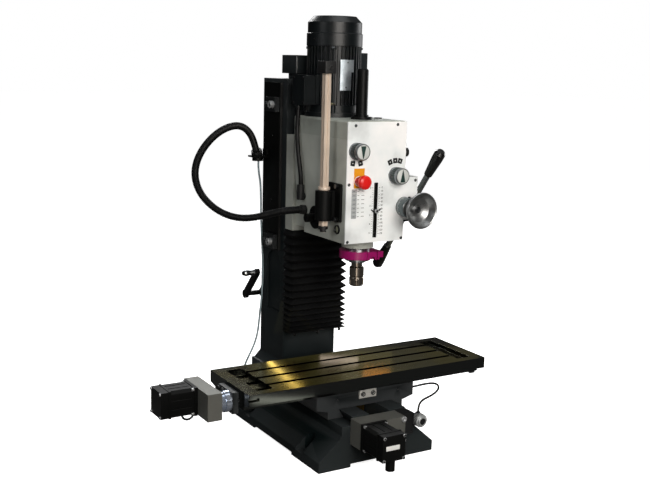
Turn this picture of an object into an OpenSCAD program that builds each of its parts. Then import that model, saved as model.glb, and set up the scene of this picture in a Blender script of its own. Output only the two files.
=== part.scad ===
// Benchtop milling machine with a belt-driven lead screw on each of its three axes.
// Millimetres. +Z is up, the operator stands on the -Y side, X = 0 is the centre plane.
// The origin is the centre of the four foot bolts, on the floor.

/* [Base] */
// Width over the feet
base_w = 390; // [380:1:404]
// Depth from front to back
base_d = 565; // [560:1:580]
// Height of the shoulders that carry the saddle
shoulder_z = 124; // [120:1:126]
// Height of the Y dovetail above its shoulders
way_h = 26; // [24:1:27]
// Width of the Y dovetail at its top
way_w = 182; // [176:1:186]
// Distance between foot bolts across the machine
bolt_x = 330; // [324:1:336]
// Distance between foot bolts from front to back
bolt_y = 340; // [330:1:350]
// Radius of a foot bolt hole
bolt_r = 7; // [5:0.5:9]

/* [Column] */
// Width of the column
col_w = 186; // [182:1:192]
// Depth of the column
col_d = 154; // [150:1:158]
// Height of the column top
col_top = 1074; // [1068:1:1084]
// Distance from the spindle axis to the column face
throat = 267; // [265:1:270]

/* [Saddle and table] */
// Width of the saddle
saddle_w = 332; // [322:1:340]
// Depth of the saddle
saddle_d = 192; // [186:1:196]
// Length of the table
table_l = 800; // [780:1:820]
// Width of the table
table_w = 250; // [244:1:256]
// Height of the table top
table_z = 252; // [251:1:256]
// Width of a T-slot neck
slot_w = 14; // [12:1:16]
// Distance between T-slots
slot_pitch = 63; // [60:1:66]

/* [Head] */
// Width of the head
head_w = 194; // [190:1:198]
// Height of the head's lower face
head_low = 632; // [630:1:636]
// Height of the head cover's top
head_top = 970; // [964:1:976]
// Outer radius of the motor's fins
motor_r = 80; // [76:1:82]
// Number of motor fins
fin_n = 40; // [28:2:48]
// Radius of the quill
quill_r = 35; // [34:0.5:36]
// Radius of the collet chuck
chuck_r = 21; // [19:0.5:23]
// Radius of the fine-feed handwheel
wheel_r = 51; // [47:1:53]
// Reach of a quill lever from its hub
lever_l = 249; // [235:1:262]

/* [Drives] */
// Width of the X and Y belt boxes
box_w = 76; // [74:1:78]
// Side of a drive motor's flange
flange_w = 80; // [76:1:82]
// Length of a drive motor behind its flange
servo_l = 105; // [90:1:120]
// Radius of a lead screw
screw_r = 9; // [8:0.5:9]

/* [Hidden] */
$fn = 48;
hw = base_w / 2;
hd = base_d / 2;
foot_h = 30;
block = 122;
way_z = shoulder_z + way_h;
way_root = way_w / 2 - way_h * 0.58;
col_back = hd - 3.5;
col_front = col_back - col_d;
cw = col_w / 2;
foot_top = way_z + 26;
sy = col_front - throat;
slide_g = 0.3;
fit = 0.05;
// Saddle and table
ty = sy + 8;
sad_f = ty - 81;
sad_b = sad_f + saddle_d;
sad_z = 200;
dove_h = 22;
xs_y = sy - 22;
xs_z = 212;
ys_z = 108;
plate_t = 18;
sleeve_l = 34;
// Belt drives: pulley, belt and wall
pul_r = 18;
belt_t = 2.5;
belt_w = 16;
wall = 8;
cav_r = 27;
x_c = 68;
x_t = 42;
x_face = -table_l / 2 - plate_t - sleeve_l;
y_c = 56;
y_t = 56;
y_face = -hd;
y_ext = 16;
z_c = 145;
z_t = 55;
z_w = 90;
z_ext = 17;
z_face = col_top + 16;
zs_y = col_front + 50;
// Head
hx = head_w / 2;
hf = sy - 82;
panel_f = hf - 4;
seam_z = head_top - 50;
slide_f = col_front - 44;
motor_y = sy + 157;
deck_z = seam_z - 70;
gear_z = deck_z + 14;
gear_r = 50;
pin_gear_r = 22;
idler_r = (motor_y - sy - gear_r - pin_gear_r) / 2 - 0.4;
idler_y = sy + gear_r + idler_r + 0.4;
pin_r = 14;
rack_d = 2;
pin_y = sy + quill_r - rack_d + pin_r + 0.4;
pin_z = 690;
worm_r = 14;
wheel_gear_r = 23.5;
wx = hx;
wz = pin_z + worm_r + wheel_gear_r + 0.5;
bump_x = 142;
bump_lo = 690;
bump_hi = 812;
hub_x = bump_x + 45;
lever_a = 38.5;
knob_ax = -70;
knob_az = head_top - 81;
knob_bx = 63;
knob_bz = bump_hi + 7;
stop_x = -58;
stop_z = knob_az - 83;
point_z = 719;
slot_lo = 645;
slot_hi = 800;
rod_x = -130;
rod_y0 = -164;
collar_lo = 574;
collar_hi = 597;
nose_z = 560;
chuck_lo = 491;
// Rear crank
crank_y = col_back + 37;
crank_z = 380;
arm_dy = -80;
arm_dz = 87;
// Corrugated conduit
conduit_r = 11;
conduit_root = 9.4;
conduit_bore = 8;
conduit_ribs = 180;
// Bellows
bel_lo = 300;
bel_hi = head_low - 10.2;
bel_d = 60;
pleats = 16;
// Motor
fin_z = head_top + 34;
cowl_z = head_top + 202;
lead_r = 6.5;

// Small helpers

// A box between two corners
module blk(a, b) {
  translate(a) cube(b - a);
}

// Round bars along each axis
module bar_x(r, x0, x1, y, z) {
  translate([x0, y, z]) rotate([0, 90, 0]) cylinder(r = r, h = x1 - x0);
}
module bar_y(r, y0, y1, x, z) {
  translate([x, y1, z]) rotate([90, 0, 0]) cylinder(r = r, h = y1 - y0);
}
module bar_z(r, z0, z1, x, y) {
  translate([x, y, z0]) cylinder(r = r, h = z1 - z0);
}

// Straight prisms of a flat outline along each axis
module prism_x(x0, x1) {
  translate([x0, 0, 0]) rotate([90, 0, 90]) linear_extrude(x1 - x0) children();
}
module prism_y(y0, y1) {
  translate([0, y1, 0]) rotate([90, 0, 0]) linear_extrude(y1 - y0) children();
}
module prism_z(z0, z1) {
  translate([0, 0, z0]) linear_extrude(z1 - z0) children();
}

// Closes a right-hand outline with its mirror image about c
function both(p, c = 0) = concat(p, [for (i = [len(p) - 1:-1:0]) [2 * c - p[i][0], p[i][1]]]);

// A smooth curve through hand-placed points
function curve(p, s, i = 0) = let (
    n = len(p) - 1,
    k = min(floor(i / s), n - 1),
    t = i / s - k,
    a = p[max(k - 1, 0)],
    b = p[k],
    c = p[k + 1],
    d = p[min(k + 2, n)]
  ) (2 * b + (c - a) * t + (2 * a - 5 * b + 4 * c - d) * t * t + (3 * b - a - 3 * c + d) * t * t * t) / 2;
function path(p, s) = [for (i = [0:(len(p) - 1) * s]) curve(p, s, i)];
function unit(v) = v / norm(v);

// A round cord swept along a path
module cord(p, r, n) {
  m = len(p);
  tan = [for (i = [0:m - 1]) unit(p[min(i + 1, m - 1)] - p[max(i - 1, 0)])];
  ref = [0.31, 0.87, 0.38];
  u = [for (i = [0:m - 1]) unit(cross(tan[i], ref))];
  v = [for (i = [0:m - 1]) cross(tan[i], u[i])];
  pts = [for (i = [0:m - 1], j = [0:n - 1]) p[i] + r * (cos(360 * j / n) * u[i] + sin(360 * j / n) * v[i])];
  sides = [for (i = [0:m - 2], j = [0:n - 1])
    [i * n + j, i * n + (j + 1) % n, (i + 1) * n + (j + 1) % n, (i + 1) * n + j]];
  ends = [[for (j = [n - 1:-1:0]) j], [for (j = [0:n - 1]) (m - 1) * n + j]];
  polyhedron(points = pts, faces = [for (q = concat(sides, ends)) [for (k = [len(q) - 1:-1:0]) q[k]]],
    convexity = 8);
}

// A ribbed hose along a path: crests and roots alternate at equal steps, and the bore is plain
function run(p) = [for (i = 0, s = 0; i < len(p); s = s + norm(p[min(i + 1, len(p) - 1)] - p[i]), i = i + 1)
  s];
function spot(p, s, d) = [for (k = [0:2]) lookup(d, [for (i = [0:len(p) - 1]) [s[i], p[i][k]]])];
module ribbed(p, r, root, bore, ribs, n) {
  s = run(p);
  m = 2 * ribs;
  skip = 6;
  w = m / skip;
  mid = [for (i = [0:m]) spot(p, s, s[len(p) - 1] * i / m)];
  tan = [for (i = [0:m]) unit(mid[min(i + 1, m)] - mid[max(i - 1, 0)])];
  u = [for (i = [0:m]) unit(cross(tan[i], [0.31, 0.87, 0.38]))];
  v = [for (i = [0:m]) cross(tan[i], u[i])];
  out = [for (i = [0:m], j = [0:n - 1]) mid[i] + (i % 2 == 0 ? root : r)
    * (cos(360 * j / n) * u[i] + sin(360 * j / n) * v[i])];
  inn = [for (i = [0:w], j = [0:n - 1]) mid[skip * i] + bore
    * (cos(360 * j / n) * u[skip * i] + sin(360 * j / n) * v[skip * i])];
  o = len(out);
  skin = [for (i = [0:m - 1], j = [0:n - 1], t = [0, 1]) t == 0 ?
    [i * n + j, (i + 1) * n + j, (i + 1) * n + (j + 1) % n]
    : [i * n + j, (i + 1) * n + (j + 1) % n, i * n + (j + 1) % n]];
  lining = [for (i = [0:w - 1], j = [0:n - 1], t = [0, 1]) t == 0 ?
    [o + i * n + j, o + (i + 1) * n + (j + 1) % n, o + (i + 1) * n + j]
    : [o + i * n + j, o + i * n + (j + 1) % n, o + (i + 1) * n + (j + 1) % n]];
  start = [for (j = [0:n - 1], t = [0, 1]) t == 0 ?
    [j, (j + 1) % n, o + (j + 1) % n] : [j, o + (j + 1) % n, o + j]];
  a = m * n;
  b = o + w * n;
  end = [for (j = [0:n - 1], t = [0, 1]) t == 0 ?
    [a + j, b + (j + 1) % n, a + (j + 1) % n] : [a + j, b + j, b + (j + 1) % n]];
  polyhedron(points = concat(out, inn), faces = concat(skin, lining, start, end), convexity = 10);
}

// Placing of the three drives: local z runs along the screw, local x runs to the motor
module at_x() {
  translate([x_face, xs_y, xs_z]) rotate([90, 0, 90]) children();
}
module at_y() {
  translate([0, y_face, ys_z]) rotate([90, 0, 180]) children();
}
module at_z() {
  translate([0, zs_y, z_face]) rotate([180, 0, 0]) children();
}

// Race-track outline round both pulleys
module track(r, c) {
  circle(r);
  translate([c, 0]) circle(r);
  translate([0, -r]) square([c, 2 * r]);
}

// Closed belt box: the screw leaves at z = 0, the motor sits at z = -t, or at z = 0 when same is true
module drive_box(c, w, t, ext, same, far = 0) {
  difference() {
    translate([-w / 2 - ext, -w / 2, -t]) cube([w + c + ext + far, w, t]);
    translate([0, 0, -t + wall]) linear_extrude(t - 2 * wall) track(cav_r, c);
    translate([0, 0, -wall - 1]) cylinder(r = screw_r + 1 + fit, h = wall + 2);
    translate([c, 0, same ? -wall - 1 : -t - 1]) cylinder(r = 9, h = wall + 2);
    for (sx = [-w / 2 - ext + 7, c + w / 2 + far - 7], s = [-1, 1]) {
      translate([sx, s * (w / 2 - 7), -t - 1]) cylinder(r = 3, h = 5);
    }
  }
}

module drive_belt(c, t) {
  translate([0, 0, -t / 2 - belt_w / 2]) linear_extrude(belt_w) difference() {
    track(pul_r + 0.3 + belt_t, c);
    track(pul_r + 0.3, c);
  }
}

// Flanged toothed-belt pulley centred in the box
module pulley(t) {
  translate([0, 0, -t / 2 - belt_w / 2 - 0.5]) cylinder(r = pul_r, h = belt_w + 1);
  for (z = [-t / 2 - belt_w / 2 - 2, -t / 2 + belt_w / 2 + 0.5]) {
    translate([0, 0, z]) cylinder(r = pul_r + 3.5, h = 1.5);
  }
}

// Lead screw with its pulley: journal through the box wall, screw of length l, turned tail
module lead_screw(t, l, tail) {
  pulley(t);
  translate([0, 0, -t + wall + 0.5]) cylinder(r = 8, h = t);
  translate([0, 0, -t / 2]) cylinder(r = screw_r + 1, h = t / 2 + 2);
  cylinder(r = screw_r, h = l);
  translate([0, 0, l - 0.5]) cylinder(r = screw_r - 1, h = tail + 0.5);
}

// Motor shaft with its pulley; same is true when the motor lies on the screw side of the box
module motor_shaft(t, same) {
  pulley(t);
  if (same) translate([0, 0, -t / 2 - 10]) cylinder(r = 7, h = t / 2 + 10 + 28);
  else translate([0, 0, -t - 28]) cylinder(r = 7, h = t / 2 + 28 + 10);
}

// Square motor: flange on z = 0, body running along -z, rear cap and corner grooves
module servo() {
  b = flange_w - 4;
  difference() {
    union() {
      translate([-flange_w / 2, -flange_w / 2, -10]) cube([flange_w, flange_w, 10]);
      translate([0, 0, -servo_l + 24]) linear_extrude(servo_l - 24) polygon([[b / 2, -b / 2 + 8],
        [b / 2, b / 2 - 8], [b / 2 - 8, b / 2], [-b / 2 + 8, b / 2], [-b / 2, b / 2 - 8],
        [-b / 2, -b / 2 + 8], [-b / 2 + 8, -b / 2], [b / 2 - 8, -b / 2]]);
      translate([-b / 2, -b / 2, -servo_l + 23]) cube([b, b, 6]);
      translate([-b / 2 + 1.5, -b / 2 + 1.5, -servo_l]) cube([b - 3, b - 3, 24]);
      for (sx = [-1, 1], s = [-1, 1]) {
        translate([sx * (flange_w / 2 - 6), s * (flange_w / 2 - 6), -15]) cylinder(r = 4, h = 6);
        translate([sx * (b / 2 - 6), s * (b / 2 - 6), -servo_l - 3]) cylinder(r = 3, h = 6);
      }
    }
    translate([0, 0, -32]) cylinder(r = 7.3, h = 33);
    for (s = [-1, 1], k = [-1, 1]) {
      translate([s * b / 2 - 1.5, k * 12 - 2, -servo_l + 30]) cube([3, 4, servo_l - 46]);
      translate([k * 12 - 2, s * b / 2 - 1.5, -servo_l + 30]) cube([4, 3, servo_l - 46]);
    }
  }
}

// Machine frame

module base() {
  color("#26323a") difference() {
    union() {
      prism_y(-hd, hd) polygon(both([[hw, 0], [hw, foot_h], [block + 8, 86], [block, 98], [block, shoulder_z],
        [way_root, shoulder_z], [way_w / 2, way_z]]));
      blk([-block, col_front - 14, shoulder_z - 1], [block, hd, way_z]);
      bar_x(8, -block - 14, -block + 1, col_back - 9, 112);
    }
    blk([-34, -hd - 1, 84], [34, col_front - 40, way_z + 1]);
    bar_y(screw_r - 1 + fit, col_front - 41, col_front - 18, 0, ys_z);
    blk([-104, -hd + 32, -1], [104, hd - 32, 64]);
    blk([-90, -hd - 1, -1], [90, hd + 1, 10]);
    blk([-hw - 1, -125, -1], [hw + 1, 116, 8]);
    for (sx = [-1, 1], s = [-1, 1]) {
      bar_z(bolt_r, -1, 60, sx * bolt_x / 2, s * bolt_y / 2);
      bar_z(20, 24, 110, sx * bolt_x / 2, s * bolt_y / 2);
      translate([sx * (bolt_x / 2 + 25), s * bolt_y / 2, 74]) cube([50, 40, 100], center = true);
    }
  }
}

module column() {
  color("#1f2a31") difference() {
    union() {
      blk([-block, col_front - 10, way_z], [block, hd, foot_top]);
      prism_y(col_front, col_back) polygon(both([[block - 6, foot_top - 1], [cw, foot_top + 24]]));
      blk([-cw, col_front, foot_top - 1], [cw, col_back, col_top]);
      prism_z(292, col_top) polygon([[-60, col_front + 1], [-72, col_front - 20], [72, col_front - 20],
        [60, col_front + 1]]);
      blk([-54, col_back - 1, crank_z - 34], [-8, crank_y + 24, crank_z + 34]);
      bar_x(24, -66, -50, crank_y, crank_z);
    }
    blk([-70, col_front + 24, 430], [70, col_back - 14, col_top - 18]);
    blk([-70, col_front + 24, way_z - 1], [70, col_back - 14, 400]);
    blk([-26, col_front - 21, 312], [26, col_front + 25, col_top - 24]);
    bar_z(14, col_top - 19, col_top + 1, 0, zs_y);
    bar_z(screw_r - 1 + fit, 399, 431, 0, zs_y);
    bar_x(8 + fit, -67, -16, crank_y, crank_z);
    for (s = [-1, 1]) {
      blk([s * cw - 5, col_front + 26, 350], [s * cw + 5, col_front + 114, 500]);
      bar_x(44, s * cw - 5, s * cw + 5, col_front + 70, 500);
    }
  }
}

module z_cover() {
  color("#0d0f10") difference() {
    prism_z(548, 1062) polygon([[-cw, col_front + 28], [-cw - 8, col_front + 30], [-cw - 8, col_front + 135],
      [-cw, col_front + 137]]);
    bar_x(3, -cw - 9, -cw - 4, col_front + 80, 700);
    bar_x(3, -cw - 9, -cw - 4, col_front + 80, 900);
  }
}

module z_cover_blocks() {
  color("#b9bcbd") for (z = [552, 974]) {
    difference() {
      blk([-cw - 22, col_front + 38, z], [-cw - 8, col_front + 100, z + 44]);
      blk([-cw - 23, col_front + 66, z + 8], [-cw - 17, col_front + 76, z + 36]);
    }
    bar_x(11, -cw - 32, -cw - 21, col_front + 54, z + 22);
    bar_x(8, -cw - 28, -cw - 21, col_front + 88, z + 22);
  }
}

// The clamp's upper gland leans the way the conduit leaves it
module clamp_axis() {
  translate([-cw - 30, col_front + 133, 834])
    rotate([0, 0, atan2(-0.51, -0.86)]) rotate([0, 28, 0]) children();
}
module conduit_clamp() {
  color("#3a3d3f") difference() {
    union() {
      blk([-cw - 56, col_front + 108, 830], [-cw - 8, col_front + 148, 835]);
      blk([-cw - 12, col_front + 108, 830], [-cw - 8, col_front + 135, 856]);
      bar_z(17, 818, 830, -cw - 30, col_front + 133);
      clamp_axis() translate([0, 0, -4]) cylinder(r = 16, h = 24);
    }
    clamp_axis() translate([0, 0, -20]) cylinder(r = 7.5, h = 41);
  }
}

// Corrugated conduit from the clamp to the head, a free loop with equal ribs and an open bore
conduit_pts = [[-131.1, 253.2, 851.7], [-139.5, 248.2, 870.2], [-149.1, 242.4, 887.9], [-161.3, 235, 903.2],
  [-175.8, 226.2, 915.4], [-192.1, 216.5, 924.3], [-209.7, 206.6, 929.7], [-228.4, 197.3, 931.6],
  [-247.6, 189, 930.1], [-266.8, 181.8, 925.8], [-285.5, 175.4, 919.1], [-303.5, 169.4, 910.1],
  [-320.5, 163.9, 899.2], [-336.4, 158.5, 886.6], [-351, 153.1, 872.6], [-364.1, 147.7, 857.2],
  [-375.4, 141.9, 840.4], [-384.1, 135.6, 822.5], [-389.6, 128.6, 803.6], [-391.2, 120.9, 784.1],
  [-388.8, 113, 765], [-382.4, 104.9, 746.7], [-372.6, 96.9, 730], [-360.1, 89.1, 715.1],
  [-345.6, 81.3, 702.2], [-329.4, 73.3, 691.6], [-311.9, 65.1, 683.5], [-293.6, 56.4, 678.3],
  [-274.8, 47.4, 676.1], [-256, 38.1, 677], [-237.6, 28.7, 680.3], [-219.4, 19.5, 685.2],
  [-201.2, 10.6, 690.5], [-182.2, 2.9, 695.1], [-162.2, -2.3, 698.1], [-141.4, -4, 699], [-120.4, -4, 699]];
module conduit() {
  color("#141414") ribbed(path(conduit_pts, 6), conduit_r, conduit_root, conduit_bore, conduit_ribs, 8);
}

// Signal cable held against the column's left rear edge
column_cable_pts = [[-126, 246, 818], [-126, 246, 810], [-125.4, 246.6, 800], [-120, 252, 776],
  [-111.5, 260.5, 752], [-106.5, 265.5, 722], [-104.5, 267, 690], [-103.5, 267, 640], [-101, 266, 580],
  [-99, 264, 530], [-97.5, 262, 480], [-97.5, 262, 430], [-99, 264.5, 375], [-102.5, 268, 325],
  [-105, 269.5, 290], [-110, 270, 254], [-118.5, 270, 226], [-129.5, 270, 202], [-140.5, 270, 181],
  [-149.5, 270, 163], [-155.4, 270, 146.5], [-157, 270, 131], [-154.6, 270, 121], [-148, 270, 114.4],
  [-139, 270, 112], [-136.2, 270, 112]];
module column_cable() {
  color("#8c979c") cord(path(column_cable_pts, 2), 3, 8);
}

module y_switch() {
  color("#15181a") {
    difference() {
      blk([box_w / 2 + y_ext, y_face - 46, 86], [box_w / 2 + y_ext + 36, y_face, 148]);
      blk([box_w / 2 + y_ext + 4, y_face - 47, 92], [box_w / 2 + y_ext + 32, y_face - 44, 142]);
    }
    bar_x(11, box_w / 2 + y_ext + 35, 116, y_face - 26, 118);
    bar_y(19, y_face - 46, y_face - 20, 118, 118);
    bar_y(13, y_face - 52, y_face - 45, 118, 118);
    bar_z(6.5, 132, 140, 118, y_face - 28);
  }
}

// Cable from the round connector to the saddle's right side
y_cable_pts = [[118, -310.5, 140], [118, -310.5, 146.5], [119, -310, 152.8], [121.5, -308.8, 158.7],
  [125.6, -307.1, 163.4], [130.7, -305.1, 166.8], [136.4, -303, 168.9], [148.4, -298.4, 170.6],
  [160.4, -293.6, 170.8], [178.6, -286.6, 171.6], [196.5, -279.3, 173.2], [208.1, -274, 175.5],
  [218.9, -267.7, 178.2], [227.7, -259.4, 181.6], [233.1, -248.7, 184.4], [233.6, -236.5, 185.4],
  [229, -225, 184.2], [221, -215.5, 181.6], [210.5, -207.5, 178.4], [198.5, -201.8, 175.4],
  [186, -197.8, 173], [179.3, -196.4, 172.2], [172.9, -196, 172], [166.4, -196, 172]];
module y_cable() {
  color("#101010") cord(path(y_cable_pts, 2), 3, 8);
}

// Pleated cover of the Z way: ridges and folds alternate and open out towards the top
module bellows() {
  yb = col_front - 0.4;
  n = 2 * pleats;
  h = [for (i = [0:n]) bel_lo + (bel_hi - bel_lo) * pow(i / n, 1.35)];
  fold = [for (i = [0:n]) (i % 2 == 0) ? 13 : 0];
  pts = [for (i = [0:n], q = [[-1, 0], [-1, 1], [1, 1], [1, 0]])
    [q[0] * (100 - fold[i]), q[1] == 0 ? yb : col_front - bel_d + fold[i], h[i]]];
  sides = [for (i = [0:n - 1], j = [0:3])
    [i * 4 + 4 + j, i * 4 + 4 + (j + 1) % 4, i * 4 + (j + 1) % 4, i * 4 + j]];
  ends = [[0, 1, 2, 3], [n * 4 + 3, n * 4 + 2, n * 4 + 1, n * 4]];
  color("#101010") difference() {
    union() {
      polyhedron(points = pts, faces = concat(sides, ends), convexity = 12);
      blk([-100, col_front - bel_d + 8, bel_lo - 7], [100, yb, bel_lo + 0.5]);
    }
    blk([-80, col_front - bel_d + 19, bel_lo - 8], [80, col_front, bel_hi + 1]);
  }
}

// Drives of the frame

module y_belt_box() {
  color("#b4b6b4") at_y() drive_box(y_c, box_w, y_t, y_ext, false);
}
module y_motor() {
  color("#131313") {
    at_y() translate([y_c, 0, -y_t]) servo();
    bar_z(13, ys_z - flange_w / 2 - 28, ys_z - 30, -y_c, y_face - y_t - servo_l + 16);
  }
}
module y_belt() {
  color("#1a1a1a") at_y() drive_belt(y_c, y_t);
}
module y_screw() {
  color("#a9adb0") at_y() lead_screw(y_t, hd + col_front - 42, 22);
}
module y_motor_pulley() {
  color("#a9adb0") at_y() translate([y_c, 0, 0]) motor_shaft(y_t, false);
}
module z_belt_box() {
  color("#33383a") {
    at_z() drive_box(z_c, z_w, z_t, z_ext, true);
    difference() {
      blk([z_c - 44, zs_y - z_w / 2, z_face + z_t - 0.5], [z_c + z_w / 2, zs_y + z_w / 2, z_face + z_t + 12]);
      for (s = [-1, 1]) {
        bar_z(3, z_face + z_t - 1, z_face + z_t + 13, z_c + z_w / 2 - 7, zs_y + s * (z_w / 2 - 7));
      }
    }
    difference() {
      blk([-44, zs_y - 36, col_top], [44, zs_y + 36, z_face + 0.5]);
      bar_z(screw_r + 1 + fit, col_top - 1, z_face + 1, 0, zs_y);
    }
  }
}
module z_motor() {
  color("#131313") at_z() translate([z_c, 0, 0]) rotate([180, 0, 0]) servo();
}
module z_belt() {
  color("#1a1a1a") at_z() drive_belt(z_c, z_t);
}
module z_screw() {
  color("#a9adb0") at_z() {
    lead_screw(z_t, z_face - 432, 30);
    cylinder(r = screw_r + 1, h = 15);
  }
}
module z_motor_pulley() {
  color("#a9adb0") at_z() translate([z_c, 0, 0]) motor_shaft(z_t, true);
}

module crank() {
  color("#151515") {
    bar_x(8, -134, -18, crank_y, crank_z);
    bar_x(13, -76, -66.5, crank_y, crank_z);
    translate([-136, crank_y, crank_z]) rotate([atan2(-arm_dy, arm_dz), 0, 0]) {
      translate([0, -11, 0]) cube([11, 22, norm([arm_dy, arm_dz])]);
      rotate([0, 90, 0]) cylinder(r = 14, h = 11);
      translate([0, 0, norm([arm_dy, arm_dz])]) rotate([0, 90, 0]) cylinder(r = 11, h = 11);
    }
    bar_x(5, -178, -130, crank_y + arm_dy, crank_z + arm_dz);
    bar_x(7, -181, -177.5, crank_y + arm_dy, crank_z + arm_dz);
  }
}
module crank_handle() {
  color("#c2c4c4") translate([-177, crank_y + arm_dy, crank_z + arm_dz]) rotate([0, 90, 0]) rotate_extrude()
    polygon([[5.06, 0], [8, 0], [10, 5], [8.5, 20], [10, 34], [8.5, 40], [5.06, 40]]);
}

// Saddle and table

module saddle() {
  color("#232c31") difference() {
    union() {
      prism_y(sad_f, sad_b) polygon(both([[block + 6, shoulder_z + slide_g], [block + 6, 146],
        [saddle_w / 2, 156], [saddle_w / 2, sad_z]]));
      prism_x(-saddle_w / 2, saddle_w / 2)
        polygon(both([[ty + 53, sad_z - 1], [ty + 66, sad_z + dove_h]], ty));
    }
    prism_y(sad_f - 1, sad_b + 1) polygon(both([[way_root + slide_g, shoulder_z - 5],
      [way_root + slide_g, shoulder_z], [way_w / 2 + 0.6, way_z + 0.8]]));
    blk([-saddle_w / 2 - 1, xs_y - 16, sad_z - 3], [saddle_w / 2 + 1, xs_y + 16, sad_z + dove_h + 1]);
    bar_y(4, sad_f - 1, sad_f + 3, -98, 182);
    bar_y(4, sad_f - 1, sad_f + 3, 112, 182);
  }
}
module saddle_plate() {
  color("#b7b8b5") difference() {
    union() {
      blk([-26, sad_f - 4, 173], [32, sad_f, 198]);
      bar_y(7, sad_f - 8, sad_f - 3, -14, 185.5);
      bar_y(7, sad_f - 8, sad_f - 3, 20, 185.5);
    }
    bar_y(3, sad_f - 9, sad_f - 5, -14, 185.5);
    bar_y(3, sad_f - 9, sad_f - 5, 20, 185.5);
  }
}
module lead_nuts() {
  color("#a2874a") {
    difference() {
      blk([-28, ty - 30, 90], [28, ty + 26, way_z + 0.8]);
      bar_y(screw_r + fit, ty - 31, ty + 27, 0, ys_z);
    }
    difference() {
      blk([-38, xs_y - 15.9, sad_z - 3], [38, xs_y + 15.9, sad_z + dove_h - 0.4]);
      bar_x(screw_r + fit, -39, 39, xs_y, xs_z);
    }
  }
}

module t_slot(y) {
  e = table_l / 2 - 50;
  n = slot_w / 2;
  blk([-e, y - n, table_z - 20], [e, y + n, table_z + 1]);
  blk([-e, y - n - 5, table_z - 20], [e, y + n + 5, table_z - 11]);
}

module table() {
  color("#77776c") difference() {
    prism_x(-table_l / 2, table_l / 2) polygon(both([[ty + 92, sad_z + slide_g], [ty + 92, 212],
      [ty + table_w / 2, 219], [ty + table_w / 2, table_z]], ty));
    prism_x(-table_l / 2 - 1, table_l / 2 + 1) polygon(both([[ty + 53.5, sad_z - 1],
      [ty + 53.5 + 13 * (dove_h + 1.8) / (dove_h + 1), sad_z + dove_h + 0.8]], ty));
    for (k = [-1:1]) t_slot(ty + k * slot_pitch);
    for (s = [-1, 1]) {
      blk([s * (table_l / 2 - 61) - 24, ty - table_w / 2 + 26, table_z - 13],
        [s * (table_l / 2 - 61) + 24, ty + table_w / 2 - 26, table_z + 1]);
    }
    bar_z(9, 215, table_z, table_l / 2 - 61, ty - 78);
    blk([-table_l / 2 - 1, ty - table_w / 2 - 1, 232], [-table_l / 2 + 30, ty - table_w / 2 + 8, 241]);
  }
}
module x_end_plates() {
  c = table_l / 2 + plate_t / 2;
  h = table_l / 2 + plate_t + 2.5;
  color("#2b3134") for (s = [-1, 1]) {
    difference() {
      translate([s * c, xs_y + 16, xs_z]) cube([plate_t, 92, 60], center = true);
      bar_x(screw_r + fit, s * c - 20, s * c + 20, xs_y, xs_z);
    }
    for (y = [xs_y + 29.5, xs_y + 54], z = [xs_z - 22, xs_z + 22]) {
      bar_x(6, s * h - 3.5, s * h + 3.5, y, z);
    }
  }
}
module x_sleeve() {
  color("#c9ccd0") difference() {
    union() {
      bar_x(27, x_face, x_face + sleeve_l, xs_y, xs_z);
      bar_x(30, x_face + 18, x_face + sleeve_l, xs_y, xs_z);
    }
    bar_x(screw_r + 3, x_face - 1, x_face + sleeve_l + 1, xs_y, xs_z);
  }
}
module x_belt_box() {
  color("#b4b6b4") at_x() drive_box(x_c, box_w, x_t, 0, false, 18);
}
module x_motor() {
  color("#131313") {
    at_x() translate([x_c, 0, -x_t]) servo();
    translate([x_face - x_t - 22, xs_y + 46, xs_z - flange_w / 2 + 4]) rotate([-90, 0, 0])
      rotate_extrude(angle = 180) translate([17, 0]) circle(3, $fn = 16);
  }
}
module x_belt() {
  color("#1a1a1a") at_x() drive_belt(x_c, x_t);
}
module x_screw() {
  color("#a9adb0") {
    at_x() lead_screw(x_t, table_l + plate_t * 2 + sleeve_l + 4, 12);
    bar_x(16, table_l / 2 + plate_t + 0.6, table_l / 2 + plate_t + 14, xs_y, xs_z);
  }
}
module x_motor_pulley() {
  color("#a9adb0") at_x() translate([x_c, 0, 0]) motor_shaft(x_t, false);
}

// Head

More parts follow.
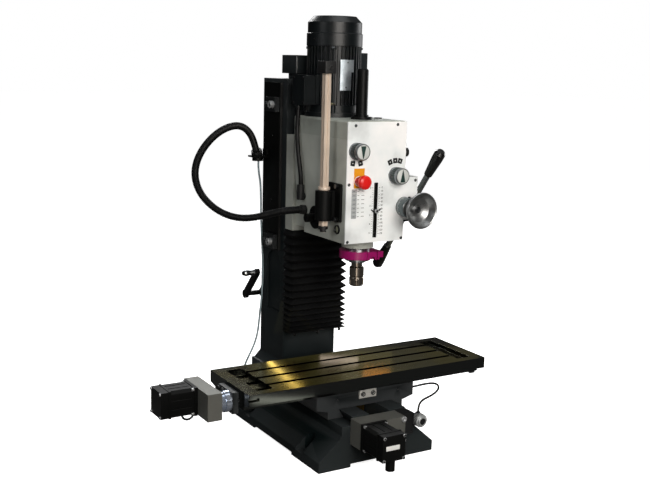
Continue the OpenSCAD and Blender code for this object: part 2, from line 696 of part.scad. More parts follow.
module head_casting() {
  color("#c9cac4") difference() {
    union() {
      prism_x(-hx, hx) polygon([[hf, head_low], [sy + 143, head_low], [sy + 143, 690], [sy + 187, 722],
        [sy + 200, 780], [sy + 212, seam_z], [hf, seam_z]]);
      blk([-80, sy + 120, 640], [80, slide_f + 1, seam_z - 15]);
      blk([-cw, slide_f, head_low - 10], [cw, col_front - slide_g, seam_z - 10]);
      blk([hx - 8, hf, bump_lo], [bump_x, pin_y + 52, bump_hi]);
      blk([hx - 8, pin_y - 52, pin_z - 34], [bump_x, pin_y + 52, bump_lo + 1]);
      bar_z(46, 606, head_low + 1, 0, sy);
      blk([-22, slide_f + 10, 740], [22, zs_y + 24, 800]);
    }
    difference() {
      prism_z(head_low - 11, seam_z - 9) polygon([[-60 - slide_g, col_front + 1],
        [-72 - 0.5, col_front - 20.5], [72 + 0.5, col_front - 20.5], [60 + slide_g, col_front + 1]]);
      blk([-22, slide_f, 740], [22, zs_y + 24, 800]);
    }
    bar_z(screw_r + fit, 739, 801, 0, zs_y);
    bar_z(quill_r + fit, 605, deck_z - 20, 0, sy);
    blk([-hx + 13, hf + 12, deck_z], [hx - 13, sy + 194, seam_z + 1]);
    bar_z(20 + fit, deck_z - 21, deck_z + 1, 0, sy);
    bar_z(12 + fit, deck_z - 20, deck_z + 1, 0, idler_y);
    bar_z(12 + fit, deck_z - 20, deck_z + 1, 0, motor_y);
    bar_x(10 + fit, -42, -17, pin_y, pin_z);
    bar_x(pin_r + 1.2, -18.5, 60, pin_y, pin_z);
    bar_x(wheel_gear_r + 1.4 + fit, 59, bump_x + 1, pin_y, pin_z);
    bar_y(worm_r + 0.6, hf - 1, pin_y + 24, wx, wz);
    blk([-6.6, hf - 1, slot_lo - 2], [7, hf + 10, slot_hi + 2]);
    bar_y(5.3, hf - 1, hf + 12.5, knob_ax, knob_az);
    bar_y(5.3, hf - 1, hf + 18, knob_bx, knob_bz);
    bar_y(11.5, hf - 1, hf + 26, stop_x, stop_z);
    bar_x(9, -hx - 1, -hx + 4, sy - 45, 668);
  }
}

module head_cover() {
  color("#c4c5bf") difference() {
    prism_y(hf, sy + 212) polygon(both([[hx, seam_z], [hx, head_top - 4], [hx - 4, head_top]]));
    bar_z(15, seam_z - 1, head_top + 1, 0, sy);
    bar_z(13, seam_z - 1, head_top + 1, 0, motor_y);
    bar_z(8, head_top - 3, head_top + 1, hx - 22, hf + 110);
    bar_y(5.3, hf - 1, hf + 18, knob_bx, knob_bz);
  }
}

module front_panel() {
  color("#e9ebea") difference() {
    prism_y(panel_f, hf) polygon([[-hx, head_low], [hx, head_low], [hx, bump_lo], [bump_x, bump_lo],
      [bump_x, bump_hi], [hx, bump_hi], [hx, head_top - 2], [-hx, head_top - 2]]);
    blk([-6.2, panel_f - 1, slot_lo], [6.6, hf + 1, slot_hi]);
    bar_y(5.3, panel_f - 1, hf + 1, knob_ax, knob_az);
    bar_y(5.3, panel_f - 1, hf + 1, knob_bx, knob_bz);
    bar_y(11.5, panel_f - 1, hf + 1, stop_x, stop_z);
    bar_y(10 + fit, panel_f - 1, hf + 1, wx, wz);
    for (p = [[-72, head_top - 12], [66, head_top - 10], [-hx + 8, 797], [-hx + 8, head_low + 6],
      [hx - 6, head_low + 7], [bump_x - 8, bump_hi - 10]]) {
      bar_y(2.4, panel_f - 1, hf + 1, p[0], p[1]);
    }
  }
}

module motor_body() {
  color("#1b1f21") translate([0, motor_y, 0]) difference() {
    union() {
      translate([0, 0, head_top]) cylinder(r = motor_r + 4, h = 13);
      translate([0, 0, head_top + 12]) cylinder(r = motor_r - 3, h = 22);
      translate([0, 0, fin_z]) linear_extrude(cowl_z - fin_z) {
        circle(motor_r - 8);
        for (i = [0:fin_n - 1]) {
          a = (i + 0.5) * 360 / fin_n;
          if (abs((a + 76.5) % 90 - 45) > 8) rotate(a) translate([motor_r - 12, -1.2]) square([12, 2.4]);
        }
        for (a = [58.5:90:328.5]) rotate(a) translate([motor_r - 4.5, 0]) circle(4.2);
      }
      translate([-motor_r - 0.1, -36, fin_z + 1]) cube([30, 72, 84]);
      for (a = [58.5:90:328.5]) {
        rotate([0, 0, a]) translate([motor_r - 1, 0, head_top + 12]) cylinder(r = 8, h = 22.5);
      }
    }
    translate([0, 0, head_top - 1]) cylinder(r = 12.4, h = cowl_z - head_top + 2);
  }
}

module fan_cowl() {
  color("#1d2123") translate([0, motor_y, cowl_z]) difference() {
    rotate_extrude($fn = 64) polygon([[0, 85], [motor_r - 18, 85], [motor_r - 1, 67], [motor_r - 1, 37],
      [motor_r + 1.6, 35], [motor_r + 1.6, 0], [motor_r - 4, 0], [motor_r - 4, 66],
      [motor_r - 20, 81], [0, 81]]);
    for (i = [0:15]) {
      rotate([0, 0, i * 22.5]) translate([22, -2.5, 78]) cube([30, 5, 10]);
    }
  }
}

module terminal_box() {
  color("#1a1e20") translate([0, motor_y, head_top]) difference() {
    union() {
      blk([-114, -33, 34], [-motor_r - 0.1, 33, 117]);
      blk([-118, -35, 32], [-113, 35, 119]);
      bar_z(9, 22, 36, -104, 24);
    }
    bar_z(7, 21, 26, -104, 24);
    for (s = [-1, 1], z = [40, 111]) {
      bar_x(2.5, -119, -116, s * 28, z);
    }
  }
}

module motor_rotor() {
  color("#9ba0a2") translate([0, motor_y, 0]) {
    translate([0, 0, deck_z - 19]) cylinder(r = 12, h = cowl_z + 29 - deck_z + 19);
    translate([0, 0, gear_z]) cylinder(r = pin_gear_r, h = 24);
    difference() {
      translate([0, 0, cowl_z + 10]) cylinder(r = 64, h = 5);
      translate([0, 0, cowl_z + 9]) cylinder(r = 11, h = 7);
    }
    for (a = [0:45:315]) {
      rotate([0, 0, a]) translate([20, -1.5, cowl_z + 14]) cube([42, 3, 22]);
    }
  }
}
module idler_gear() {
  color("#9ba0a2") translate([0, idler_y, 0]) {
    translate([0, 0, deck_z - 19]) cylinder(r = 12, h = seam_z - deck_z + 18);
    translate([0, 0, gear_z]) cylinder(r = idler_r, h = 24);
  }
}
module spindle_gear() {
  color("#9ba0a2") translate([0, sy, 0]) difference() {
    union() {
      translate([0, 0, deck_z - 19]) cylinder(r = 20, h = seam_z - deck_z + 18);
      translate([0, 0, gear_z]) cylinder(r = gear_r, h = 24);
    }
    translate([0, 0, deck_z - 20]) cylinder(r = 14.3, h = seam_z - deck_z + 20);
  }
}

module drawbar_cover() {
  color("#161616") translate([0, sy, head_top]) difference() {
    union() {
      cylinder(r = 30, h = 7);
      cylinder(r = 20, h = 12);
      cylinder(r = 16.5, h = 136);
      translate([0, 0, 135]) cylinder(r1 = 16.5, r2 = 13.5, h = 5);
    }
    translate([0, 0, -1]) cylinder(r = 14.8, h = 137);
    for (a = [30:120:270]) {
      rotate([0, 0, a]) translate([25, 0, 3]) cylinder(r = 3, h = 5);
    }
  }
}

module spindle() {
  color("#b0b3b5") translate([0, sy, 0]) difference() {
    union() {
      translate([0, 0, nose_z]) cylinder(r = 23, h = 5.6);
      translate([0, 0, nose_z + 5]) cylinder(r = 19, h = deck_z - 32 - nose_z);
      translate([0, 0, 570]) cylinder(r = 24, h = 34);
      translate([0, 0, deck_z - 66]) cylinder(r = 24, h = 34);
      translate([0, 0, deck_z - 30]) cylinder(r = 14, h = 180);
      translate([0, 0, deck_z + 145]) cylinder(r = 9, h = head_top + 105 - deck_z - 145);
      translate([0, 0, head_top + 100]) cylinder(r = 10, h = 12, $fn = 6);
    }
    translate([0, 0, nose_z - 1]) cylinder(r = 15, h = 41);
  }
}
module quill() {
  color("#a8abad") translate([0, sy, 0]) difference() {
    translate([0, 0, 566]) cylinder(r = quill_r, h = deck_z - 24 - 566);
    translate([0, 0, 565]) cylinder(r = 24 + fit, h = deck_z);
    translate([-18, quill_r - rack_d, 612]) cube([36, 5 + rack_d, deck_z - 640]);
  }
}
module clamp_collar() {
  h = collar_hi - collar_lo;
  color("#b01a72") translate([0, sy, collar_lo]) difference() {
    union() {
      cylinder(r = 52, h = h);
      translate([0, -56, 0]) cube([53, 56, h]);
    }
    translate([0, 0, -1]) cylinder(r = quill_r, h = h + 2);
    translate([31, -57, -1]) cube([3, 46, h + 2]);
    translate([8, -57, -1]) cube([17, 12, 9]);
    translate([40, -57, -1]) cube([14, 18, 7]);
    translate([46, -46, h / 2]) rotate([0, 90, 0]) cylinder(r = 5.5, h = 8);
  }
}
module collet_chuck() {
  color("#a7a6a0") translate([0, sy, 0]) difference() {
    rotate_extrude() polygon([[6, chuck_lo], [chuck_r - 3, chuck_lo], [chuck_r, chuck_lo + 4], [chuck_r, 514],
      [chuck_r - 1.5, 516], [chuck_r - 1.5, 519], [chuck_r, 521], [chuck_r, 545], [chuck_r - 5, 548],
      [chuck_r - 5, nose_z], [14.9, nose_z], [13, 598], [6, 598]]);
    for (a = [0:60:300]) {
      rotate([0, 0, a]) translate([chuck_r, 0, chuck_lo - 1]) cylinder(r = 3, h = 18);
    }
  }
}

module lever_hub() {
  color("#191a1b") difference() {
    union() {
      bar_x(10, -41, hub_x + 1, pin_y, pin_z);
      bar_x(pin_r, -16, 16, pin_y, pin_z);
      bar_x(wheel_gear_r, wx - 9, wx + 9, pin_y, pin_z);
      bar_x(wheel_gear_r + 1.4, 122, bump_x + 0.6, pin_y, pin_z);
      bar_x(34, bump_x + 0.6, bump_x + 18, pin_y, pin_z);
      bar_x(24, bump_x + 17, hub_x + 1, pin_y, pin_z);
      bar_x(30, hub_x, hub_x + 36, pin_y, pin_z);
      bar_x(20, hub_x + 35, hub_x + 42, pin_y, pin_z);
    }
    for (s = [0, 180]) {
      translate([hub_x + 18, pin_y, pin_z]) rotate([lever_a + s, 0, 0])
        translate([0, 0, 16]) cylinder(r = 9, h = 20);
    }
  }
}
module quill_levers() {
  color("#b4b6b8") for (s = [0, 180]) {
    translate([hub_x + 18, pin_y, pin_z]) rotate([lever_a + s, 0, 0])
      translate([0, 0, 16]) cylinder(r = 9, h = lever_l - 70);
  }
}
module lever_grips() {
  color("#101010") for (s = [0, 180]) {
    translate([hub_x + 18, pin_y, pin_z]) rotate([lever_a + s, 0, 0]) rotate_extrude()
      polygon([[0, lever_l - 54], [9, lever_l - 54], [9, lever_l - 94], [12, lever_l - 94],
        [16.5, lever_l - 30], [16.5, lever_l - 9], [11, lever_l - 1], [0, lever_l]]);
  }
}

module handwheel() {
  back = pin_y - panel_f;
  color("#b5b7b8") translate([wx, panel_f, wz]) rotate([90, 0, 0]) {
    difference() {
      rotate_extrude() polygon([[0, -back - 20], [8, -back - 20], [8, -back - 15], [worm_r, -back - 15],
        [worm_r, -back + 15], [8, -back + 15], [8, -4], [10, -4], [10, 0.5], [27, 0.5], [28, 3], [28, 32],
        [25, 34], [17, 34], [15, 52], [22, 58], [36, 66], [wheel_r - 1, 84], [wheel_r, 88],
        [wheel_r - 2, 91], [wheel_r - 6, 89], [34, 73], [20, 65], [13, 63], [11, 66], [0, 67]]);
      for (i = [0:23]) {
        rotate([0, 0, i * 15]) translate([27.4, -0.5, 6]) cube([2, 1, (i % 6 == 0) ? 18 : 11]);
      }
    }
  }
}

module selector(x, z, a) {
  translate([x, panel_f, z]) rotate([90, 0, 0]) rotate([0, 0, a]) {
    translate([0, 0, -14]) cylinder(r = 5, h = 15);
    difference() {
      translate([0, 0, 0.4]) rotate_extrude() polygon([[0, 0], [23, 0], [23, 6], [21.5, 8], [21.5, 26],
        [23, 28], [23, 36], [22, 38], [0, 38]]);
      for (i = [0:23]) {
        rotate([0, 0, i * 15]) translate([21, -0.8, 9]) cube([2, 1.6, 16]);
      }
      translate([-2, 4, 37.4]) cube([4, 13, 2]);
    }
  }
}
module selector_a() {
  color("#9fa3a5") selector(knob_ax, knob_az, 180);
}
module selector_b() {
  color("#9fa3a5") selector(knob_bx, knob_bz, 0);
}

module stop_button() {
  color("#c8201c") translate([stop_x, panel_f, stop_z]) rotate([90, 0, 0]) rotate_extrude() polygon([[0, -22],
    [11, -22], [11, 8], [14, 9], [14, 22], [19, 25], [20, 32], [18, 38], [12, 42], [0, 43]]);
}

module depth_pointer() {
  color("#1c1d1e") translate([0.2, panel_f, point_z]) {
    translate([-6, -1, -6]) cube([12, 13, 12]);
    prism_y(-4, -0.5) polygon([[-15, 7], [-15, 4], [-6, -3], [6, -3], [15, 4], [15, 7], [6, 2], [-6, 2]]);
    bar_y(5.5, -10, -0.5, 0, 2);
  }
}

module guard_bracket() {
  color("#141516") difference() {
    union() {
      prism_x(-hx - 8, -hx) polygon([[rod_y0 - 45, 694], [rod_y0 - 41, 690], [rod_y0 + 34, 690],
        [rod_y0 + 34, 797], [rod_y0 - 41, 797], [rod_y0 - 45, 793]]);
      bar_z(24, 693, 776, rod_x, rod_y0);
      blk([rod_x, rod_y0 - 18, 693], [-hx - 2, rod_y0 + 18, 776]);
      for (z = [697, 790]) bar_x(7, -hx - 15, -hx - 7, rod_y0 - 30, z);
    }
    bar_z(13.4, 692, 777, rod_x, rod_y0);
    for (z = [697, 790]) bar_x(3.5, -hx - 16, -hx - 11, rod_y0 - 30, z);
  }
}
module guard_rod() {
  color("#c9b8ae") translate([rod_x, rod_y0, 0]) {
    translate([0, 0, 668]) linear_extrude(432) difference() {
      square(18, center = true);
      for (a = [0:90:270]) rotate(a) translate([-1.5, 6.5]) square([3, 4]);
    }
    translate([0, 0, 660]) cylinder(r = 8, h = 9);
    translate([0, 0, 779]) cylinder(r = 17, h = 7);
    translate([-16, -21, 1096]) cube([32, 42, 32]);
  }
}

module head_glands() {
  color("#151515") {
    bar_x(13, -hx - 16, -hx, sy + 138, 699);
    bar_x(11, -hx - 23, -hx - 15, sy + 138, 699);
    bar_z(11, 728, 772, -hx - 12, sy + 147);
    bar_x(10, -hx - 12, -hx, sy + 147, 738);
    bar_x(13, hx, hx + 15, hf + 14, 881);
  }
}
// Round housing of the quill's return spring, on the pinion's axis
module spring_housing() {
  color("#26282a") difference() {
    union() {
      bar_x(33, -hx - 20, -hx, pin_y, pin_z);
      bar_x(12.5, -hx - 50, -hx - 19, pin_y, pin_z);
    }
    for (a = [45:90:315]) {
      translate([-hx - 21, pin_y, pin_z]) rotate([a, 0, 0]) translate([0, 0, 24]) rotate([0, 90, 0])
        cylinder(r = 3, h = 5);
    }
    blk([-hx - 51, pin_y - 2, pin_z - 14], [-hx - 46, pin_y + 2, pin_z + 14]);
  }
}
// Motor lead from the terminal box to the elbow on the head
lead_pts = [[-104, motor_y + 24, head_top + 26], [-104, motor_y + 24, head_top + 4],
  [-106, motor_y + 23, head_top - 40], [-109.5, motor_y + 9, 870], [-109.8, sy + 150, 812],
  [-109, sy + 147, 788],
  [-109, sy + 147, 772]];
module motor_lead() {
  color("#121212") cord(path(lead_pts, 4), lead_r, 8);
}

base();
column();
z_cover();
z_cover_blocks();
y_belt_box();
y_motor();
y_belt();
y_switch();
z_belt_box();
z_motor();
z_belt();
conduit_clamp();
column_cable();
conduit();
y_cable();
bellows();
y_screw();
y_motor_pulley();
z_screw();
z_motor_pulley();
crank();
crank_handle();
saddle();
saddle_plate();
lead_nuts();
table();
x_end_plates();
x_sleeve();
x_belt_box();
x_motor();
x_belt();
x_screw();
x_motor_pulley();
head_casting();
head_cover();
front_panel();
motor_body();
fan_cowl();
terminal_box();
drawbar_cover();
guard_bracket();
head_glands();
spring_housing();
motor_lead();
motor_rotor();
idler_gear();
spindle_gear();
quill();
clamp_collar();
spindle();
collet_chuck();
lever_hub();
quill_levers();
lever_grips();
handwheel();
selector_a();
selector_b();
stop_button();
depth_pointer();
guard_rod();
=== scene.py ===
# %% [markdown]
# # A benchtop milling machine, dressed for its picture
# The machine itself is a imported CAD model: every casting, shaft, box and knob is already there, at its
# real size and in its real place. This lesson loads that model as a fixed frame and gives it what CAD
# leaves out: enamel, ground iron, rubber and steel, the flexible conduit and cables, the pleated way
# cover, and the small trim such as screws, scales and plates.

# %% Load the frame
import math

import bmesh
import bpy
import numpy as np
from mathutils import Matrix, Quaternion, Vector


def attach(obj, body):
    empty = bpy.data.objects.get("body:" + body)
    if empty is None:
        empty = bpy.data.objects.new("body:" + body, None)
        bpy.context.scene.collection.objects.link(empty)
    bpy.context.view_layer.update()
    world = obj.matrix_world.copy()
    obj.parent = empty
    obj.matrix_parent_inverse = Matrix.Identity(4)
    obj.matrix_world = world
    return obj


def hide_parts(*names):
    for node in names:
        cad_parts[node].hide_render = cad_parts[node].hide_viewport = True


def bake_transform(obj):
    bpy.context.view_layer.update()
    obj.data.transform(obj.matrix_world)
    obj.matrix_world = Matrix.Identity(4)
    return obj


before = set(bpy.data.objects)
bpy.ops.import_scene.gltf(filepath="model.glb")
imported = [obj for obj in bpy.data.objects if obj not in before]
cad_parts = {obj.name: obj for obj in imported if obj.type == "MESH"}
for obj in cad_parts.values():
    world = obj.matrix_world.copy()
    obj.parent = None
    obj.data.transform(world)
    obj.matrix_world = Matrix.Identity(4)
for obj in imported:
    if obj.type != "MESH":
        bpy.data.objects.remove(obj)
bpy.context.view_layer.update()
MM = 0.001

# %% [markdown]
# ## Camera
# The photograph was taken from the operator's left and from about the height of the motor, with a lens
# a little longer than normal. Its place was worked out from the straight edges of the table, base and
# head, so the camera is set from a point, a direction and a small roll. The lens follows from a focal
# length of 987 pixels on a picture that is 650 pixels wide, for the usual 36 mm sensor.

# %% Camera from the solved viewpoint
CAM_AT = Vector((-1519.8, -2498.0, 1119.9)) * MM
CAM_AIM = Vector((0.5054, 0.8440, -0.1791))
CAM_ROLL = 0.025845
FOCAL_PX, PICTURE_PX, SENSOR_MM = 987, 650, 36
ahead = CAM_AIM.normalized()
right = ahead.cross(Vector((0, 0, 1))).normalized()
up = right.cross(ahead)
turned_right = right * math.cos(CAM_ROLL) + up * math.sin(CAM_ROLL)
turned_up = up * math.cos(CAM_ROLL) - right * math.sin(CAM_ROLL)
lens = bpy.data.cameras.new("photo_camera")
lens.sensor_fit = "HORIZONTAL"
lens.sensor_width = SENSOR_MM
lens.lens = FOCAL_PX / PICTURE_PX * SENSOR_MM
lens.clip_end = 100
camera = bpy.data.objects.new("photo_camera", lens)
bpy.context.scene.collection.objects.link(camera)
camera.matrix_world = Matrix((turned_right, turned_up, -ahead)).transposed().to_4x4()
camera.matrix_world.translation = CAM_AT
bpy.context.scene.camera = camera
print("lens", round(lens.lens, 2), "mm")

# %% [markdown]
# ## Shapes as plain lists
# Small hardware is turned, pressed, fluted or swept, so four functions are enough to make it: one spins
# a profile about an axis, one presses a plate from a flat outline, one cuts flutes round a ring, one
# draws a tube along a route. They work in millimetres and return points and faces, which are cheaper to
# join and to place than a chain of modifiers.

# %% Turned and pressed shapes
def turned(profile, sides=36):
    """Spin (radius, height) about Z. A third number gives the ring that many flats, as on a bolt head."""
    points, faces, rings = [], [], []
    for radius, height, *flats in profile:
        ring = []
        for k in range(sides if radius else 1):
            angle = 2 * math.pi * k / sides
            reach = radius
            if flats:
                wedge = 2 * math.pi / flats[0]
                reach = radius * math.cos(wedge / 2) / math.cos(angle % wedge - wedge / 2)
            ring.append(len(points))
            points.append((reach * math.cos(angle), reach * math.sin(angle), height))
        rings.append(ring)
    for low, high in zip(rings, rings[1:]):
        for k in range(max(len(low), len(high))):
            corners = [low[k % len(low)], low[(k + 1) % len(low)]]
            corners += [high[(k + 1) % len(high)], high[k % len(high)]]
            faces.append(list(dict.fromkeys(corners)))
    return points, [f for f in faces if len(f) > 2]


def inset(outline, by):
    """Move each side of an outline that runs anticlockwise inwards."""
    moved = []
    for k, here in enumerate(outline):
        before, after = Vector(outline[k - 1]), Vector(outline[(k + 1) % len(outline)])
        here = Vector(here)
        a, b = (here - before).normalized(), (after - here).normalized()
        na, nb = Vector((-a.y, a.x)), Vector((-b.y, b.x))
        moved.append(here + (na + nb) * by / (1 + na.dot(nb)))
    return moved


def bands(rings, n, closed=False):
    """Faces between one ring of n points and the next, and from the last to the first if closed."""
    faces = []
    for i in range(rings if closed else rings - 1):
        low, high = i * n, (i + 1) % rings * n
        for k in range(n):
            j = (k + 1) % n
            faces.append([low + k, low + j, high + j, high + k])
    return faces


def pressed(outline, depth, edge=0.4):
    """A plate of that depth along Z, with its upper edge rounded over."""
    n = len(outline)
    steps = [(0, 0), (0, depth - edge), (0.3 * edge, depth - 0.3 * edge), (edge, depth)]
    points = [(p[0], p[1], height) for by, height in steps for p in inset(outline, by)]
    return points, bands(4, n) + [list(range(n))[::-1], list(range(3 * n, 4 * n))]


def rounded(width, height, radius, steps=5):
    corners = [(1, 1, 0), (-1, 1, 90), (-1, -1, 180), (1, -1, 270)]
    return [((width / 2 - radius) * sx + radius * math.cos(math.radians(start + 90 * k / steps)),
             (height / 2 - radius) * sy + radius * math.sin(math.radians(start + 90 * k / steps)))
            for sx, sy, start in corners for k in range(steps + 1)]


print("turned and pressed shapes ready")


# %% Fluted and swept shapes
def fluted(low, high, bottom, top, count, bore):
    """A ring with flutes round its outside."""
    sides, points = count * 4, []
    for height, ease in ((bottom, 0.6), (bottom + 0.8, 0), (top - 0.8, 0), (top, 0.6)):
        for k in range(sides):
            angle = 2 * math.pi * k / sides
            reach = (low, high, high, low)[k % 4] - ease
            points.append((reach * math.cos(angle), reach * math.sin(angle), height))
    for height in (top, bottom):
        for k in range(sides):
            angle = 2 * math.pi * k / sides
            points.append((bore * math.cos(angle), bore * math.sin(angle), height))
    return points, bands(6, sides, closed=True)


def swept(route, radii, sides):
    """A closed tube along a route of points, one radius for each point, without twist."""
    route = [Vector(p) for p in route]
    last = len(route) - 1
    ahead = [(route[min(i + 1, last)] - route[max(i - 1, 0)]).normalized() for i in range(last + 1)]
    across = ahead[0].orthogonal().normalized()
    points = []
    for here, along, radius in zip(route, ahead, radii):
        across = (across - along * across.dot(along)).normalized()
        over = along.cross(across)
        for k in range(sides):
            angle = 2 * math.pi * k / sides
            points.append(here + radius * (math.cos(angle) * across + math.sin(angle) * over))
    ends = [list(range(sides))[::-1], [last * sides + k for k in range(sides)]]
    return points, bands(last + 1, sides) + ends


print("fluted and swept shapes ready")


# %% Placing, joining and making a piece
def place(shape, at, out=(0, 0, 1), up=(0, 0, 1)):
    """Turn a shape so that its Z points out of a surface, and put it there."""
    z = Vector(out).normalized()
    x = Vector(up).cross(z)
    x = x.normalized() if x.length > 1e-6 else Vector((1, 0, 0))
    y = z.cross(x)
    return [Vector(at) + x * p[0] + y * p[1] + z * p[2] for p in shape[0]], shape[1]


def joined(*shapes):
    points, faces = [], []
    for some_points, some_faces in shapes:
        start = len(points)
        points += list(some_points)
        faces += [[start + k for k in face] for face in some_faces]
    return points, faces


def piece(name, shape, finish, body=None, sharp=35):
    mesh = bpy.data.meshes.new(name)
    mesh.from_pydata([tuple(c * MM for c in p) for p in shape[0]], [], shape[1])
    mesh.validate()
    tidy = bmesh.new()
    tidy.from_mesh(mesh)
    bmesh.ops.recalc_face_normals(tidy, faces=tidy.faces)
    tidy.to_mesh(mesh)
    tidy.free()
    mesh.shade_smooth()
    mesh.set_sharp_from_angle(angle=math.radians(sharp))
    thing = bpy.data.objects.new(name, mesh)
    bpy.context.scene.collection.objects.link(thing)
    if finish:
        mesh.materials.append(finish)
    if body:
        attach(thing, body)
    return thing


FRONT, LEFT, UP, DOWN = (0, -1, 0), (-1, 0, 0), (0, 0, 1), (0, 0, -1)
print("placing ready")

# %% [markdown]
# ## Conduit and cables
# A corrugated nylon conduit carries the wires from the column to the head. It is stiff, so it rises out
# of its gland, falls over in one round loop and comes back level, and its ribs stand about 4 mm apart.
# The cables are smooth PVC. Each follows the same points as its CAD solid, joined by the same smooth
# curve, so it lies exactly where that solid is. The conduit and the switch cable join two bodies, so
# they are attached to neither.

# %% Routes in millimetres
CONDUIT = [(-131.1, 253.2, 851.7), (-139.5, 248.2, 870.2), (-149.1, 242.4, 887.9), (-161.3, 235, 903.2),
    (-175.8, 226.2, 915.4), (-192.1, 216.5, 924.3), (-209.7, 206.6, 929.7), (-228.4, 197.3, 931.6),
    (-247.6, 189, 930.1), (-266.8, 181.8, 925.8), (-285.5, 175.4, 919.1), (-303.5, 169.4, 910.1),
    (-320.5, 163.9, 899.2), (-336.4, 158.5, 886.6), (-351, 153.1, 872.6), (-364.1, 147.7, 857.2),
    (-375.4, 141.9, 840.4), (-384.1, 135.6, 822.5), (-389.6, 128.6, 803.6), (-391.2, 120.9, 784.1),
    (-388.8, 113, 765), (-382.4, 104.9, 746.7), (-372.6, 96.9, 730), (-360.1, 89.1, 715.1),
    (-345.6, 81.3, 702.2), (-329.4, 73.3, 691.6), (-311.9, 65.1, 683.5), (-293.6, 56.4, 678.3),
    (-274.8, 47.4, 676.1), (-256, 38.1, 677), (-237.6, 28.7, 680.3), (-219.4, 19.5, 685.2),
    (-201.2, 10.6, 690.5), (-182.2, 2.9, 695.1), (-162.2, -2.3, 698.1), (-141.4, -4, 699),
    (-120.4, -4, 699)]
SWITCH_CABLE = [(118, -310.5, 140), (118, -310.5, 146.5), (119, -310, 152.8), (121.5, -308.8, 158.7),
    (125.6, -307.1, 163.4), (130.7, -305.1, 166.8), (136.4, -303, 168.9), (148.4, -298.4, 170.6),
    (160.4, -293.6, 170.8), (178.6, -286.6, 171.6), (196.5, -279.3, 173.2), (208.1, -274, 175.5),
    (218.9, -267.7, 178.2), (227.7, -259.4, 181.6), (233.1, -248.7, 184.4), (233.6, -236.5, 185.4),
    (229, -225, 184.2), (221, -215.5, 181.6), (210.5, -207.5, 178.4), (198.5, -201.8, 175.4),
    (186, -197.8, 173), (179.3, -196.4, 172.2), (172.9, -196, 172), (166.4, -196, 172)]
COLUMN_CABLE = [(-126, 246, 818), (-126, 246, 810), (-125.4, 246.6, 800), (-120, 252, 776),
    (-111.5, 260.5, 752), (-106.5, 265.5, 722), (-104.5, 267, 690), (-103.5, 267, 640), (-101, 266, 580),
    (-99, 264, 530), (-97.5, 262, 480), (-97.5, 262, 430), (-99, 264.5, 375), (-102.5, 268, 325),
    (-105, 269.5, 290), (-110, 270, 254), (-118.5, 270, 226), (-129.5, 270, 202), (-140.5, 270, 181),
    (-149.5, 270, 163), (-155.4, 270, 146.5), (-157, 270, 131), (-154.6, 270, 121), (-148, 270, 114.4),
    (-139, 270, 112), (-136.2, 270, 112)]
MOTOR_LEAD = [(-104, 39, 996), (-104, 39, 974), (-106, 38, 930), (-109.5, 24, 870), (-109.8, 8, 812),
    (-109, 5, 788), (-109, 5, 772)]


def smooth_route(points, steps):
    p = [Vector(q) for q in points]
    route = []
    for k in range(len(p) - 1):
        a, b, c, d = p[max(k - 1, 0)], p[k], p[k + 1], p[min(k + 2, len(p) - 1)]
        for i in range(steps):
            t = i / steps
            route.append((2 * b + (c - a) * t + (2 * a - 5 * b + 4 * c - d) * t ** 2
                          + (3 * b - a - 3 * c + d) * t ** 3) / 2)
    return route + [p[-1]]


def measured(route):
    return sum((b - a).length for a, b in zip(route, route[1:]))


def evenly(route, count):
    """The same route with that many points at equal distances."""
    far = [0.0]
    for a, b in zip(route, route[1:]):
        far.append(far[-1] + (b - a).length)
    wanted = np.linspace(0, far[-1], count)
    columns = [np.interp(wanted, far, [p[k] for p in route]) for k in range(3)]
    return [Vector(q) for q in np.stack(columns, 1)]


print("route points", [len(points) for points in (CONDUIT, SWITCH_CABLE, COLUMN_CABLE, MOTOR_LEAD)])

# %% Corrugated conduit
CORD_SIDES = 20
conduit_line = smooth_route(CONDUIT, 12)
ribs, rings_per_rib = 190, 6
groove_radius, rib_rise = 9.4, 1.6
rib_height = (0.0, 0.55, 1.0, 1.0, 0.55, 0.0)
conduit_route = evenly(conduit_line, ribs * rings_per_rib + 1)
conduit_radii = [groove_radius + rib_rise * rib_height[i % rings_per_rib] for i in range(len(conduit_route))]
conduit_tube = swept(conduit_route, conduit_radii, CORD_SIDES)
conduit = piece("corrugated_conduit", conduit_tube, None, sharp=60)
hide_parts("conduit")
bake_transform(conduit)
print("conduit", round(measured(conduit_line)), "mm,", ribs, "ribs")


# %% Smooth cables
def cable(name, points, radius):
    line = smooth_route(points, 8)
    route = evenly(line, max(40, int(measured(line) / 4)))
    tube = swept(route, [radius] * len(route), CORD_SIDES)
    return piece(name, tube, None, sharp=60), line


switch_cable, switch_line = cable("switch_cable", SWITCH_CABLE, 3)
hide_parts("y_cable")
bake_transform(switch_cable)
column_cable, column_line = cable("column_signal_cable", COLUMN_CABLE, 3)
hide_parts("column_cable")
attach(column_cable, "frame")
motor_lead, lead_line = cable("motor_supply_lead", MOTOR_LEAD, 6.5)
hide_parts("motor_lead")
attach(motor_lead, "head")
print("cables", [round(measured(line)) for line in (switch_line, column_line, lead_line)], "mm")

# %% [markdown]
# ## Pleated way cover
# Below the head hangs a concertina of rubber-coated fabric that keeps chips off the vertical way. Its
# folds lie close together at the foot and open out towards the head. It is a stack of outlines, open at
# the back, that step in and out. Each ridge is rolled over a little, the corners are folded round, and
# the cloth sags by up to a millimetre between them, so that no two pleats catch the light alike.

# %% Stack of pleat outlines
PLEATS, FOLD, LOW, HIGH = 16, 13.0, 300.0, 621.8
BACK, SIDE, NEAR, CORNER = 124.6, 100.0, 65.0, 7.0
LEVELS_PER_FLAP, OPENING, HEM, CLOTH = 8, 1.35, 0.6, 2.2


